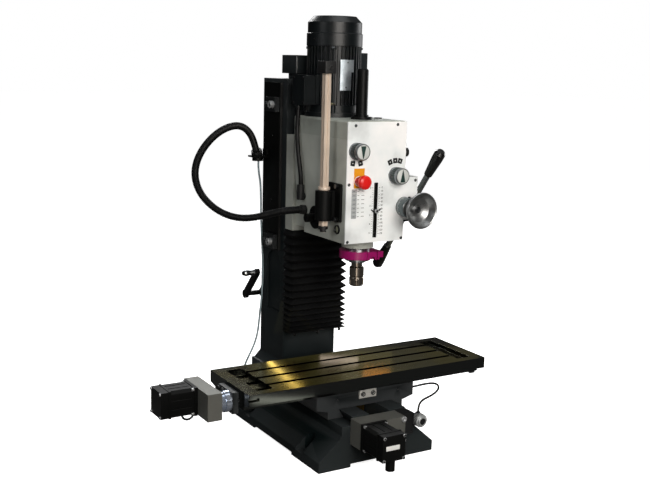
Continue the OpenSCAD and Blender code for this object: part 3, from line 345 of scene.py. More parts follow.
def pleat_outline(step_in, height, phase):
    """One row round the cover, from its left back edge to its right one."""
    x, y = SIDE - step_in, NEAR + step_in
    row = [(-x, BACK), (-x, (BACK + y) / 2), (-x, y + CORNER)]
    row += [(-x + CORNER - CORNER * math.cos(a), y + CORNER - CORNER * math.sin(a)) for a in (0.52, 1.05)]
    for k in range(13):
        across = -x + CORNER + (2 * x - 2 * CORNER) * k / 12
        row.append((across, y + 0.5 * (1 + math.sin(across * 0.045 + phase))))
    row += [(x - CORNER + CORNER * math.sin(a), y + CORNER - CORNER * math.cos(a)) for a in (0.52, 1.05)]
    row += [(x, y + CORNER), (x, (BACK + y) / 2), (x, BACK)]
    return [(p[0], p[1], height + 0.5 * math.sin(p[0] * 0.06 + 1.7 * phase)) for p in row]


def pleat_depth(t):
    """0 at a ridge and 1 in a fold, with the ridge rolled over and the fold a little sharper."""
    swing = abs(((t + 1) % 2) - 1)
    return 1 - (1 - swing) ** 0.9 if swing > 0.12 else swing * 0.5


levels = [i / LEVELS_PER_FLAP for i in range(2 * LEVELS_PER_FLAP * PLEATS + 1)]
outlines = []
for thickness in (0.0, CLOTH):
    for level in levels:
        height = LOW + HEM + (HIGH - LOW - 2 * HEM) * (level / (2 * PLEATS)) ** OPENING
        phase = 0.9 * math.floor(level / 2 + 0.5)
        outlines.append(pleat_outline(FOLD * pleat_depth(level + 1) + thickness, height, phase))
skin_points = [p for row in outlines for p in row]
skin_faces, count, width = [], len(levels), len(outlines[0])
for side in range(2):
    for i in range(count - 1):
        for k in range(width - 1):
            a = (side * count + i) * width + k
            skin_faces.append([a, a + 1, a + width + 1, a + width])
for k in range(width - 1):
    for i in (0, count - 1):
        a, b = i * width + k, (count + i) * width + k
        skin_faces.append([a, a + 1, b + 1, b])
for i in range(count - 1):
    for k in (0, width - 1):
        a, b = i * width + k, (count + i) * width + k
        skin_faces.append([a, a + width, b + width, b])
pleated_cover = piece("pleated_way_cover", (skin_points, skin_faces), None, sharp=50)
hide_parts("bellows")
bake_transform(pleated_cover)
print("pleats", PLEATS, "faces", len(skin_faces))

# %% [markdown]
# ## Colour and nodes
# Paint charts and screens give colours as sRGB hex values, while the shader works in linear light, so
# one function turns the one into the other. A second one adds a node to a material: its settings, and
# for each of its inputs either a value or the socket of another node. The rest are short forms of the
# nodes that every finish needs: noise with cells of a given size, a colour ramp, a mix, a change of
# range and a bump.

# %% Colours in linear light
def tint(hex_code):
    parts = [int(hex_code[i:i + 2], 16) / 255 for i in (1, 3, 5)]
    return (*[c / 12.92 if c <= 0.04045 else ((c + 0.055) / 1.055) ** 2.4 for c in parts], 1.0)


def grey(level):
    return (level, level, level, 1)


def shades(hex_code, *factors):
    """The same colour, darker or lighter by each factor."""
    return [(*[min(1, c * factor) for c in tint(hex_code)[:3]], 1) for factor in factors]


print("mid grey", [round(c, 3) for c in tint("#808080")])


# %% Nodes for materials
def add(tree, kind, inputs=None, **settings):
    node = tree.nodes.new("ShaderNode" + kind)
    for name, value in settings.items():
        setattr(node, name, value)
    for name, value in (inputs or {}).items():
        if isinstance(value, bpy.types.NodeSocket):
            tree.links.new(value, node.inputs[name])
        else:
            node.inputs[name].default_value = value
    return node


def noise(tree, vector, size_mm, detail, roughness=0.5):
    inputs = {"Vector": vector, "Scale": 1000 / size_mm, "Detail": detail, "Roughness": roughness}
    return add(tree, "TexNoise", inputs).outputs["Fac"]


def ramp(tree, fac, stops):
    node = add(tree, "ValToRGB", {"Fac": fac})
    bar = node.color_ramp
    bar.elements[0].position, bar.elements[0].color = stops[0]
    bar.elements[1].position, bar.elements[1].color = stops[-1]
    for at, colour in stops[1:-1]:
        bar.elements.new(at).color = colour
    return node.outputs["Color"]


def mixed(tree, factor, a, b, how="MIX"):
    inputs = {"Factor": factor, "A": a, "B": b}
    return add(tree, "Mix", inputs, data_type="RGBA", blend_type=how).outputs["Result"]


def product(tree, a, b):
    return add(tree, "Math", {0: a, 1: b}, operation="MULTIPLY").outputs["Value"]


def remap(tree, value, low, high, to_low=0.0, to_high=1.0):
    inputs = {"Value": value, "From Min": low, "From Max": high, "To Min": to_low, "To Max": to_high}
    return add(tree, "MapRange", inputs).outputs["Result"]


def bump(tree, height, depth_mm, strength, normal):
    inputs = {"Height": height, "Distance": depth_mm * MM, "Strength": strength, "Normal": normal}
    return add(tree, "Bump", inputs).outputs["Normal"]


def soft_edges(tree, round_mm):
    return add(tree, "Bevel", {"Radius": round_mm * MM}, samples=4).outputs["Normal"]


def blank(name):
    material = bpy.data.materials.new(name)
    material.use_nodes = True
    material.node_tree.nodes.clear()
    return material, material.node_tree


def surface(tree, inputs):
    shader = add(tree, "BsdfPrincipled", inputs)
    add(tree, "OutputMaterial", {"Surface": shader.outputs["BSDF"]})


print("node helpers ready")

# %% [markdown]
# ## Enamel on cast iron
# The castings are filled, sanded and sprayed with thick machine enamel. It levels out over the sand
# texture, so the surface has a soft waviness of a few centimetres, an orange peel of about 2 mm, and
# edges that are rounded by the paint. Dust settles on what faces up, and oil leaves it a little
# glossier here and there.

# %% Enamel finishes
def enamel(name, colour, roughness, round_mm=2.0, peel_mm=2.0, wave_mm=35, dust=0.05, coat=0.0, wear=0.0,
           shine=0.5):
    material, tree = blank(name)
    where = add(tree, "TexCoord")
    spot = where.outputs["Object"]
    patches = noise(tree, spot, 140, 4.0)
    darker, base, lighter = shades(colour, 0.72, 1, 1.25)
    body = ramp(tree, patches, [(0.35, darker), (0.5, base), (0.68, lighter)])
    facing = add(tree, "SeparateXYZ", {"Vector": where.outputs["Normal"]})
    settled = product(tree, remap(tree, facing.outputs["Z"], 0.55, 1.0), noise(tree, spot, 9, 6.0))
    skin = mixed(tree, product(tree, settled, dust), body, tint("#8f9293"))
    if wear:
        ridge = add(tree, "NewGeometry")
        bare = remap(tree, ridge.outputs["Pointiness"], 0.53, 0.6)
        skin = mixed(tree, product(tree, bare, wear), skin, tint("#7d8285"))
    gloss = remap(tree, patches, 0.3, 0.7, roughness * 0.85, min(1, roughness * 1.2))
    soft = bump(tree, noise(tree, spot, wave_mm, 2.0), 0.35, 0.5, soft_edges(tree, round_mm))
    fine = bump(tree, noise(tree, spot, peel_mm, 1.0), 0.06, 0.6, soft)
    surface(tree, {"Base Color": skin, "Roughness": gloss, "IOR": 1.5, "Specular IOR Level": shine,
                   "Coat Weight": coat, "Coat Roughness": 0.2, "Normal": fine})
    return material


dark_enamel = enamel("charcoal_machine_enamel", "#080d0f", 0.36, round_mm=2.5, wear=0.12)
base_enamel = enamel("charcoal_base_enamel", "#081112", 0.5, round_mm=2.5, dust=0.02, wear=0.1, shine=0.07)
column_enamel = enamel("charcoal_column_enamel", "#0a1214", 0.42, round_mm=2.5, wear=0.1, shine=0.3)
black_enamel = enamel("black_satin_enamel", "#070808", 0.42, round_mm=1.2, peel_mm=1.4, dust=0.03,
                      shine=0.14)
motor_enamel = enamel("black_motor_enamel", "#0b1012", 0.36, round_mm=1.2, peel_mm=1.6, dust=0.04, shine=0.3)
grey_enamel = enamel("pale_grey_head_enamel", "#a9ada6", 0.42, round_mm=2.5)
cream_enamel = enamel("pale_grey_cover_enamel", "#9fa49d", 0.42)
panel_coat = enamel("white_powder_coat", "#eef3f4", 0.36, round_mm=0.6, peel_mm=1.0, wave_mm=90, dust=0.0)
collar_enamel = enamel("magenta_enamel", "#8e0a5a", 0.3, round_mm=1.5, dust=0.0, coat=0.3)
print("enamels:", len(bpy.data.materials))

# %% [markdown]
# ## Bare metals
# The table is cast iron, ground flat: the wheel leaves fine straight lines along the table, and an oil
# film keeps rust away and turns the grey towards brown and gold. Turned parts carry fine rings, the
# handwheel has a satin finish, and the belt boxes are aluminium, milled and then blasted with glass
# beads until they are evenly dull.

# %% Metal finishes
def metal(name, colour, roughness, grain=(1, 1, 1), grain_mm=1.0, depth_mm=0.02, film=None, film_mm=160,
          round_mm=0.8, metallic=1.0, flanks=None):
    material, tree = blank(name)
    where = add(tree, "TexCoord")
    stretched = add(tree, "Mapping", {"Vector": where.outputs["Object"], "Scale": grain})
    lines = noise(tree, stretched.outputs["Vector"], grain_mm, 3.0)
    stain = noise(tree, where.outputs["Object"], film_mm, 5.0, 0.55)
    base, darker = shades(colour, 1, 0.88)
    body = ramp(tree, stain, [(0.38, base), (0.62, tint(film) if film else darker)])
    streak = ramp(tree, lines, [(0.3, grey(0.86)), (0.7, grey(1))])
    skin = mixed(tree, 1.0, body, streak, "MULTIPLY")
    gloss = remap(tree, lines, 0.3, 0.7, roughness * 0.7, roughness * 1.3)
    if flanks:
        facing = add(tree, "SeparateXYZ", {"Vector": where.outputs["Normal"]})
        level = remap(tree, facing.outputs["Z"], 0.7, 0.95)
        skin = mixed(tree, level, tint(flanks), skin)
        gloss = add(tree, "Mix", {"Factor": level, "A": 0.1, "B": gloss}).outputs["Result"]
    cut = bump(tree, lines, depth_mm, 0.5, soft_edges(tree, round_mm))
    surface(tree, {"Base Color": skin, "Metallic": metallic, "Roughness": gloss, "Normal": cut})
    return material


RINGS = (1, 1, 0.1)
ground_iron = metal("oiled_ground_cast_iron", "#6b6a5c", 0.19, grain=(0.02, 1, 1), grain_mm=1.2,
                    depth_mm=0.006, film="#77714c", round_mm=1.0, flanks="#4b4e4c")
turned_steel = metal("turned_steel", "#a8acaf", 0.28, grain=RINGS)
screw_steel = metal("zinc_plated_steel", "#c4c7c9", 0.3, grain_mm=2.0, round_mm=0.4, metallic=0.7)
dark_steel = metal("blackened_steel", "#2a2b2c", 0.35, grain_mm=1.5, round_mm=0.4)
chuck_steel = metal("hardened_chuck_steel", "#a79e92", 0.16, grain=RINGS, round_mm=0.6)
sleeve_chrome = metal("hard_chrome", "#d3d9e2", 0.14, grain=(0.1, 1, 1), grain_mm=1.5, film="#b4c3da",
                      film_mm=40, metallic=0.8)
wheel_steel = metal("satin_wheel_steel", "#97999a", 0.36, grain=(1, 0.3, 1), grain_mm=1.4)
blasted_aluminium = metal("bead_blasted_aluminium", "#70716c", 0.45, grain_mm=0.7, depth_mm=0.03,
                          round_mm=1.0, metallic=0.5)
knob_aluminium = metal("satin_knob_aluminium", "#8e9396", 0.35, round_mm=0.6)
rod_aluminium = metal("warm_anodised_aluminium", "#ead8c6", 0.4, grain=(1, 1, 0.03), metallic=0.4)
nut_bronze = metal("machined_bronze", "#a2874a", 0.3)
dark_zinc = metal("blackish_zinc_plate", "#5c5f61", 0.35, grain_mm=1.5, round_mm=0.3)
yellow_zinc = metal("yellow_zinc_plate", "#8f8150", 0.35, grain_mm=1.5, film="#7a7a70", film_mm=12,
                    round_mm=0.4)
connector_zinc = metal("satin_die_cast_zinc", "#c9cdce", 0.38, round_mm=0.6, metallic=0.6)
# Pale colour for the strip on the belt box lid's corner: a painted highlight.
painted_highlight_edge = metal("painted_edge_highlight", "#d9dad8", 0.5, grain=RINGS, grain_mm=0.8, round_mm=0.3)
rating_steel = metal("bare_plate_aluminium", "#c3ccd2", 0.5, grain=RINGS, grain_mm=1.2, film="#aab4bb",
                     film_mm=18, round_mm=0.3)
plate_steel = metal("brushed_plate_steel", "#d3d3ce", 0.35, grain=(0.03, 1, 1), grain_mm=0.8, round_mm=0.5,
                    metallic=0.4)
print("materials:", len(bpy.data.materials))

# %% [markdown]
# ## Plastics and rubber
# Grips and glands are moulded, so they have a fine even grain and no direction. The bellows is coated
# fabric with a dull face, cable jackets are PVC, and the stop button is red ABS, glossy on its face and
# matt on its grip, whose darker red is a painted shade.

# %% Moulded finishes
def moulded(name, colour, roughness, grain_mm=0.6, depth_mm=0.02, round_mm=0.8, coat=0.0, shade=0.15,
            shine=0.5):
    material, tree = blank(name)
    spot = add(tree, "TexCoord").outputs["Object"]
    cloud = noise(tree, spot, 45, 3.0)
    low, high = shades(colour, 1 - shade, 1 + shade)
    skin = ramp(tree, cloud, [(0.35, low), (0.65, high)])
    gloss = remap(tree, cloud, 0.3, 0.7, roughness * 0.9, min(1, roughness * 1.1))
    grit = bump(tree, noise(tree, spot, grain_mm, 2.0), depth_mm, 0.5, soft_edges(tree, round_mm))
    surface(tree, {"Base Color": skin, "Roughness": gloss, "IOR": 1.5, "Specular IOR Level": shine,
                   "Coat Weight": coat, "Coat Roughness": 0.1, "Normal": grit})
    return material


bellows_rubber = moulded("rubber_coated_fabric", "#08090a", 0.62, grain_mm=1.2, depth_mm=0.05, shine=0.2)
conduit_nylon = moulded("black_nylon_conduit", "#0a0b0c", 0.4, shine=0.2)
cable_pvc = moulded("black_pvc_jacket", "#0b0b0c", 0.42, shine=0.2)
grey_pvc = moulded("grey_pvc_jacket", "#7f8f95", 0.5)
black_plastic = moulded("black_moulded_nylon", "#0c0d0e", 0.48)
grip_phenolic = moulded("black_phenolic_grip", "#0a0a0a", 0.3, coat=0.3)
belt_rubber = moulded("belt_neoprene", "#141414", 0.7)
red_abs = moulded("red_glossy_abs", "#dd1a16", 0.34, grain_mm=3.0, depth_mm=0.004, coat=0.15, shade=0.05)
# The grip's matt finish is real; its red, darker than the button's, is a painted shade.
shaded_red_grip = moulded("red_matt_abs_painted_shade", "#b4120f", 0.5, grain_mm=2.0, depth_mm=0.004, shade=0.08, shine=0.12)
white_abs = moulded("white_printed_abs", "#e4e6e4", 0.4, grain_mm=2.0, depth_mm=0.005, shade=0.04)
yellow_card = moulded("orange_yellow_laminate", "#e39a14", 0.45, grain_mm=2.0, depth_mm=0.005, shade=0.05)
knob_face = moulded("pale_grey_knob_face", "#c9cdca", 0.4, grain_mm=2.0, depth_mm=0.005, shade=0.04)
knob_rubber = moulded("dark_green_grey_knob_sleeve", "#2f3a39", 0.5, grain_mm=1.0, round_mm=0.3)
dial_blue = moulded("blue_grey_dial_lacquer", "#4f5c5f", 0.4, grain_mm=1.0, depth_mm=0.01, round_mm=0.5)
# Near-black for the depth slot's walls and back: a painted shade.
slot_shade_black = moulded("black_slot_painted_shade", "#050606", 0.75, grain_mm=1.0, round_mm=0.2)
oil_glass = moulded("oil_filled_glass", "#7d8070", 0.08, grain_mm=4.0, depth_mm=0.002, round_mm=0.4,
                    coat=0.6)
INK = {"grain_mm": 2.0, "depth_mm": 0.002, "shade": 0.1, "round_mm": 0.05}
grey_ink = moulded("grey_printing_ink", "#9ba0a2", 0.5, **INK)
black_ink = moulded("black_printing_ink", "#15181a", 0.5, **INK)
green_ink = moulded("dark_green_pointer_enamel", "#16302c", 0.4, grain_mm=2.0, depth_mm=0.002, round_mm=0.1)
print("materials:", len(bpy.data.materials))

# %% [markdown]
# ## Dressing the CAD nodes
# The CAD solids already have the right shapes, so they stay and only get their finish. Each row names
# the nodes that leave the paint shop, the grinder or the moulding machine together.

# %% Finish of each node
FINISH = (
    (base_enamel, "base"),
    (dark_enamel, "saddle x_end_plates"),
    (column_enamel, "column z_belt_box"),
    (black_enamel, "z_cover y_motor z_motor x_motor guard_bracket crank lever_hub conduit_clamp "
                   "drawbar_cover spring_housing"),
    (motor_enamel, "motor_body fan_cowl terminal_box"),
    (grey_enamel, "head_casting"),
    (cream_enamel, "head_cover"),
    (panel_coat, "front_panel"),
    (collar_enamel, "clamp_collar"),
    (ground_iron, "table"),
    (turned_steel, "y_screw z_screw x_screw x_motor_pulley y_motor_pulley z_motor_pulley motor_rotor "
                   "idler_gear spindle_gear quill spindle quill_levers crank_handle"),
    (chuck_steel, "collet_chuck"),
    (sleeve_chrome, "x_sleeve"),
    (wheel_steel, "handwheel"),
    (blasted_aluminium, "x_belt_box y_belt_box"),
    (dark_zinc, "z_cover_blocks"),
    (knob_aluminium, "selector_a selector_b"),
    (rod_aluminium, "guard_rod"),
    (nut_bronze, "lead_nuts"),
    (plate_steel, "saddle_plate"),
    (belt_rubber, "x_belt y_belt z_belt"),
    (black_plastic, "head_glands y_switch depth_pointer"),
    (grip_phenolic, "lever_grips"),
    (red_abs, "stop_button"),
    (bellows_rubber, "bellows"),
    (conduit_nylon, "conduit"),
    (cable_pvc, "y_cable motor_lead"),
    (grey_pvc, "column_cable"),
)
for finish, names in FINISH:
    for name in names.split():
        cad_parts[name].data.materials.clear()
        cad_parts[name].data.materials.append(finish)
for thing, finish in ((conduit, conduit_nylon), (switch_cable, cable_pvc), (motor_lead, cable_pvc),
                      (column_cable, grey_pvc), (pleated_cover, bellows_rubber)):
    thing.data.materials.append(finish)
print("finished nodes:", sum(len(names.split()) for _, names in FINISH))

# %% [markdown]
# ## Screws
# Socket-head cap screws hold most of the machine together: a turned head, its edge chamfered, with a
# hexagonal socket broached into it. Two profiles are enough, a tall head and a low button head, because
# each ring of a profile may be given six flats. Screws of one kind on the same body become one piece.

# %% Places that several pieces share
PANEL = -228.0
MOTOR_Y = 15
STOP_X, STOP_Z = -58, 806
WHEEL_X, WHEEL_Z = 97, 728
ROD_X, ROD_Y = -130, -164
X_MOTOR, Y_MOTOR, Z_MOTOR = (-96, 212), (-56, 108), (145, 175)
FLANGE_HALF, END_HALF = 34, 32


def square(middle, half):
    """The four corners of a square round its middle."""
    return [(middle[0] + a * half, middle[1] + b * half) for a in (-1, 1) for b in (-1, 1)]


def on_motor(radius, degrees, height):
    """A place round the spindle motor's axis."""
    angle = math.radians(degrees)
    return radius * math.cos(angle), MOTOR_Y + radius * math.sin(angle), height


print("panel face at", PANEL, "mm")


# %% Two screw heads
def cap_screw(radius, high):
    socket = radius * 0.56
    return turned([(0, -1), (radius, -1), (radius, high - 0.12 * radius), (radius * 0.88, high),
                   (socket * 1.1, high), (socket, high - 0.3, 6), (socket, high * 0.45, 6), (0, high * 0.4)])


def button_screw(radius, high):
    socket = radius * 0.42
    return turned([(0, -1), (radius, -1), (radius, high * 0.25), (radius * 0.86, high * 0.7),
                   (radius * 0.6, high), (socket * 1.1, high), (socket, high - 0.2, 6),
                   (socket, high * 0.3, 6), (0, high * 0.25)], 24)


def screws(name, body, head, places, out, finish=screw_steel):
    shape = joined(*[place(head, at, out) for at in places])
    piece(name, shape, finish, body)


print("screw heads ready")

# %% Screws in their places
PANEL_SCREWS = ((-72, 958), (66, 960), (-89, 797), (-89, 638), (91, 639), (134, 802))
screws("panel_screws", "head", button_screw(4.4, 2.0),
       [(x, PANEL, z) for x, z in PANEL_SCREWS], FRONT, dark_zinc)
screws("terminal_cover_screws", "head", button_screw(4.2, 2.0),
       [(-118, MOTOR_Y + s * 28, z) for s in (-1, 1) for z in (1010, 1081)], LEFT, dark_steel)
screws("cowl_screws", "head", button_screw(4.0, 1.8), [on_motor(81.6, -166.5, 1190)], LEFT, dark_steel)
screws("y_box_screws", "frame", cap_screw(8.0, 6.0), [(47, -338.5, z) for z in (139, 77)], FRONT)
flange_screw = cap_screw(4.4, 6.6)
screws("y_motor_flange_screws", "frame", flange_screw,
       [(x, -348.5, z) for x, z in square(Y_MOTOR, FLANGE_HALF)], FRONT)
screws("x_motor_flange_screws", "table", flange_screw,
       [(-504, y, z) for y, z in square(X_MOTOR, FLANGE_HALF)], LEFT)
screws("z_motor_flange_screws", "frame", flange_screw,
       [(x, y, 1080) for x, y in square(Z_MOTOR, FLANGE_HALF)], DOWN)
screws("z_box_screws", "frame", cap_screw(2.8, 3.0),
       [(x, y, 1141) for x in (-55, 183) for y in (137, 213)], UP, dark_steel)
screws("x_box_screws", "table", cap_screw(4.4, 3.5), [(-494, -47, z) for z in (181, 243)], LEFT)
screws("way_cover_screws", "frame", button_screw(5.0, 2.2),
       [(x, 73, 296.6) for x in (-80, 0, 80)], FRONT, dark_steel)
screws("saddle_plate_screws", "saddle", cap_screw(7.2, 5.4),
       [(x, -218, 185.5) for x in (-14, 20)], FRONT, dark_zinc)
screws("guard_bracket_screws", "head", cap_screw(6.8, 1.2),
       [(-112, -194, z) for z in (697, 790)], LEFT, dark_zinc)
screws("z_block_bolts", "frame", cap_screw(11.3, 12.4), [(-115, 179, z) for z in (574, 996)], LEFT)
screws("z_block_screws", "frame", cap_screw(8.3, 8.6),
       [(-114, 213, z) for z in (574, 996)], LEFT, dark_zinc)
screws("z_cover_screws", "frame", button_screw(5.0, 2.4),
       [(-101, 205, z) for z in (700, 900)], LEFT, dark_steel)
print("screws placed")

# %% [markdown]
# ## Front panel
# The powder-coated panel carries printed scales, a chart of bars, the stop button's orange plate and
# the knobs' position marks. Prints are drawn as very thin plates, so they stay sharp in any view, and
# the numbers on the depth scale are plain figures from the built-in font, turned to mesh. Everything
# lies on the panel's face.

# %% Printed marks
INK_DEPTH, INK_EDGE, FIGURE_HIGH, TILE = 0.25, 0.05, 5.2, 14.5


def print_bar(x0, z0, x1, z1, depth=INK_DEPTH):
    """A printed rectangle on the panel, between two corners."""
    x, z = (x1 - x0) / 2, (z1 - z0) / 2
    flat = [(-x, -z), (x, -z), (x, z), (-x, z)]
    return place(pressed(flat, depth, INK_EDGE), ((x0 + x1) / 2, PANEL, (z0 + z1) / 2), FRONT)


def figure(text, x, z):
    """A number on the panel, as a mesh."""
    sheet = bpy.data.curves.new("figure", "FONT")
    sheet.body, sheet.size, sheet.extrude = text, FIGURE_HIGH * 1.4, INK_DEPTH / 2
    sheet.align_x, sheet.align_y, sheet.resolution_u = "CENTER", "CENTER", 3
    holder = bpy.data.objects.new("figure", sheet)
    mesh = bpy.data.meshes.new_from_object(holder)
    shape = [tuple(v.co) for v in mesh.vertices], [list(p.vertices) for p in mesh.polygons]
    bpy.data.objects.remove(holder)
    bpy.data.curves.remove(sheet)
    bpy.data.meshes.remove(mesh)
    return place(shape, (x, PANEL - INK_DEPTH / 2, z), FRONT)


SCALE_TOP, METRIC_STEP, INCH_STEP, HALF_MARK = 786.0, 5, 6.35, 0.45
marks = []
for k in range(27):
    z = SCALE_TOP - METRIC_STEP * k
    marks.append(print_bar(9.0, z - HALF_MARK, 14.5 if k % 2 == 0 else 12.0, z + HALF_MARK))
    if k % 2 == 0:
        marks.append(figure(str(METRIC_STEP * k), 20.5, z))
for k in range(21):
    z = SCALE_TOP - INCH_STEP * k
    marks.append(print_bar(-13.5 if k % 4 == 0 else -11.5, z - HALF_MARK, -8.5, z + HALF_MARK))
    if k % 4 == 0:
        marks.append(figure(str(k // 4), -18, z))
piece("depth_scales", joined(*marks), black_ink, "head")
print("scale marks", len(marks))

# %% Chart of bars
BARS = ((-60.5, -54.5, 0.6, INK_DEPTH), (-47.5, -38, 0.6, INK_DEPTH), (-74.5, -68.5, 0.5, 0.4))
rows = [784 - 11.7 * k for k in range(8)]
band = [print_bar(-79.5, low + 0.5, -63, high) for high, low in zip(rows, rows[1:])]
piece("chart_band", joined(*band), grey_ink, "head")
ticks = []
for high, low in zip(rows, rows[1:]):
    middle = (high + low) / 2
    for x0, x1, half, depth in BARS:
        ticks.append(print_bar(x0, middle - half, x1, middle + half, depth))
piece("chart_ticks", joined(*ticks), black_ink, "head")
print("chart rows", len(band))


# %% Knob position marks
def tile(x, z, lean):
    turn = Matrix.Rotation(math.radians(lean), 2)
    outer = [turn @ Vector(p) for p in rounded(TILE, TILE, 1.0, 2)]
    inner = [turn @ Vector(p) for p in rounded(TILE * 0.22, TILE * 0.22, 0.4, 2)]
    return (place(pressed(outer, INK_DEPTH, INK_EDGE), (x, PANEL, z), FRONT),
            place(pressed(inner, 0.4, INK_EDGE), (x, PANEL, z), FRONT))


TILES = ((-78.5, 855.5, -8), (-54, 855.5, 14), (44.5, 855.5, 24), (61.5, 859.6, 4), (78, 858.2, -16))
tiles = [tile(*spot) for spot in TILES]
piece("knob_marks", joined(*[dark for dark, _ in tiles]), black_ink, "head")
piece("knob_mark_centres", joined(*[pale for _, pale in tiles]), white_abs, "head")
print("tiles", len(tiles))


# %% Stop button's plate and grip
def pierced(x0, z0, x1, z1, hole_x, hole_z, hole_r, depth):
    """A plate between two corners with a round hole in it."""
    turn = 2 * math.pi
    corners = [math.atan2(z - hole_z, x - hole_x) % turn for x in (x0, x1) for z in (z0, z1)]
    around = sorted([turn * k / 48 for k in range(48)] + corners)
    inner, outer = [], []
    for a in around:
        c, s = math.cos(a), math.sin(a)
        reach = min((((x1 if c > 0 else x0) - hole_x) / c) if abs(c) > 1e-9 else 1e9,
                    (((z1 if s > 0 else z0) - hole_z) / s) if abs(s) > 1e-9 else 1e9)
        inner.append((hole_r * c, hole_r * s))
        outer.append((reach * c, reach * s))
    rings = ((inner, 0), (outer, 0), (outer, depth), (inner, depth))
    points = [(*p, h) for ring, h in rings for p in ring]
    return place((points, bands(4, len(around), closed=True)), (hole_x, PANEL, hole_z), FRONT)


stop_plate = pierced(-73.5, 786.5, -40, 841, STOP_X, STOP_Z, 14.6, 1.0)
piece("stop_plate", stop_plate, yellow_card, "head")
stop_grip = place(fluted(14.2, 15.2, 9.6, 21.6, 24, 12), (STOP_X, PANEL, STOP_Z), FRONT)
piece("stop_grip", stop_grip, shaded_red_grip, "stop_button")
print("stop plate and grip made")

# %% [markdown]
# ## Knobs, slot and handwheel
# Each speed knob has a dark fluted sleeve between two bright rings and a pale face with a tapering
# pointer. The depth slot gets black strips on its walls and a black sheet behind it, a painted shade,
# and its pointer is held by a bright thumb nut. The handwheel has a blue-grey dial ring behind it and a
# cap nut in its dish. These are laid over the CAD shapes by a few tenths of a millimetre.

# %% Knob sleeves, faces and pointers
pointer = [(-8.5, -16.6), (8.5, -16.6), (0.9, 17.5), (-0.9, 17.5)]
sleeve = fluted(21.8, 23.2, 8.6, 25.8, 24, 18)
face = turned([(0, 38.0), (19.6, 38.0), (19.6, 38.75), (19.2, 38.95), (0, 38.95)], 48)
for body, x, z, up in (("selector_a", -70, 889, DOWN), ("selector_b", 63, 819, UP)):
    piece(body + "_sleeve", place(sleeve, (x, PANEL, z), FRONT), knob_rubber, body)
    piece(body + "_face", place(face, (x, PANEL, z), FRONT), knob_face, body)
    arrow = place(pressed(pointer, 0.6, 0.1), (x, PANEL - 38.6, z), FRONT, up)
    piece(body + "_pointer", arrow, green_ink, body)
print("knobs dressed")

# %% Painted shade in the depth slot, and its thumb nut
SLOT_LEFT, SLOT_RIGHT, SLOT_LOW, SLOT_HIGH, SLOT_DEPTH, SHADE_STRIP = -6.4, 6.8, 644, 801, 13.7, 0.4
strips = joined(print_bar(SLOT_LEFT, SLOT_LOW, SLOT_LEFT + SHADE_STRIP, SLOT_HIGH),
                print_bar(SLOT_RIGHT - SHADE_STRIP, SLOT_LOW, SLOT_RIGHT, SLOT_HIGH))
walls = ([(x, PANEL + 0.1 + (y - PANEL + INK_DEPTH) * 50, z) for x, y, z in strips[0]], strips[1])
sheet = print_bar(SLOT_LEFT, SLOT_LOW, SLOT_RIGHT, SLOT_HIGH)
back = ([(x, y + SLOT_DEPTH, z) for x, y, z in sheet[0]], sheet[1])
# Black strips on the slot's walls and a black sheet behind it are a painted shade for the slot's inside.
piece("depth_slot_shade_sheets", joined(walls, back), slot_shade_black, "head")
thumb_nut = turned([(0, -4), (6.0, -4), (6.3, -3.4), (6.3, -0.6), (5.7, 0.3), (3.4, 0.3), (3.0, -0.4, 6),
                    (3.0, -1.8, 6), (0, -1.8)])
piece("pointer_thumb_nut", place(thumb_nut, (0.2, -238, 721), FRONT), screw_steel, "depth_pointer")
print("slot lined")

# %% Handwheel dial and cap nut
dial = turned([(27.0, 1.2), (28.5, 1.2), (28.5, 32.6), (27.9, 33.4), (26.0, 33.4)], 64)
dial = place(dial, (WHEEL_X, PANEL, WHEEL_Z), FRONT)
piece("handwheel_dial", dial, dial_blue, "handwheel")
dashes = []
for k in range(60):
    a = 2 * math.pi * k / 60
    tall = 13 if k % 5 == 0 else 8
    dash = pressed([(-0.35, 0), (0.35, 0), (0.35, tall), (-0.35, tall)], 0.2, INK_EDGE)
    spot = (WHEEL_X + 28.45 * math.cos(a), PANEL - 4, WHEEL_Z + 28.45 * math.sin(a))
    dashes.append(place(dash, spot, (math.cos(a), 0, math.sin(a)), FRONT))
piece("dial_marks", joined(*dashes), white_abs, "handwheel")
cap_nut = place(cap_screw(8.5, 5.0), (WHEEL_X, PANEL - 66, WHEEL_Z), FRONT)
piece("handwheel_nut", cap_nut, dark_zinc, "handwheel")
lock = place(cap_screw(4.0, 3.0), (WHEEL_X, PANEL - 26, WHEEL_Z + 28.4), UP)
piece("dial_lock_screw", lock, dark_steel, "handwheel")
print("dial marks", len(dashes))

# %% [markdown]
# ## Motor and head fittings
# The motor carries a bare plate bent round its fins, with two rivets, and nuts on its tie rods. An oil
# sight glass sits low on the head's left side and a socket plug closes the filler on top. The guard rod
# ends in a clamp block above and a plug below. These are small pressed and turned pieces again.

# %% Bent plate on the fins
def bent(angles, heights, radius, thick, keep):
    """A plate bent round the motor's axis, made of the cells that keep accepts."""
    index, points, faces, edges = {}, [], [], []
    for i, a in enumerate(angles):
        for j, h in enumerate(heights):
            for layer, r in enumerate((radius, radius + thick)):
                index[i, j, layer] = len(points)
                points.append(on_motor(r, a, h))
    for i in range(len(angles) - 1):
        for j in range(len(heights) - 1):
            if keep((angles[i] + angles[i + 1]) / 2, (heights[j] + heights[j + 1]) / 2):
                ring = [(i, j), (i + 1, j), (i + 1, j + 1), (i, j + 1)]
                faces.append([index[(*c, 1)] for c in ring])
                faces.append([index[(*c, 0)] for c in ring[::-1]])
                for a, b in zip(ring, ring[1:] + ring[:1]):
                    if (b, a) in edges:
                        edges.remove((b, a))
                    else:
                        edges.append((a, b))
    for a, b in edges:
        faces.append([index[(*a, 0)], index[(*b, 0)], index[(*b, 1)], index[(*a, 1)]])
    return points, faces


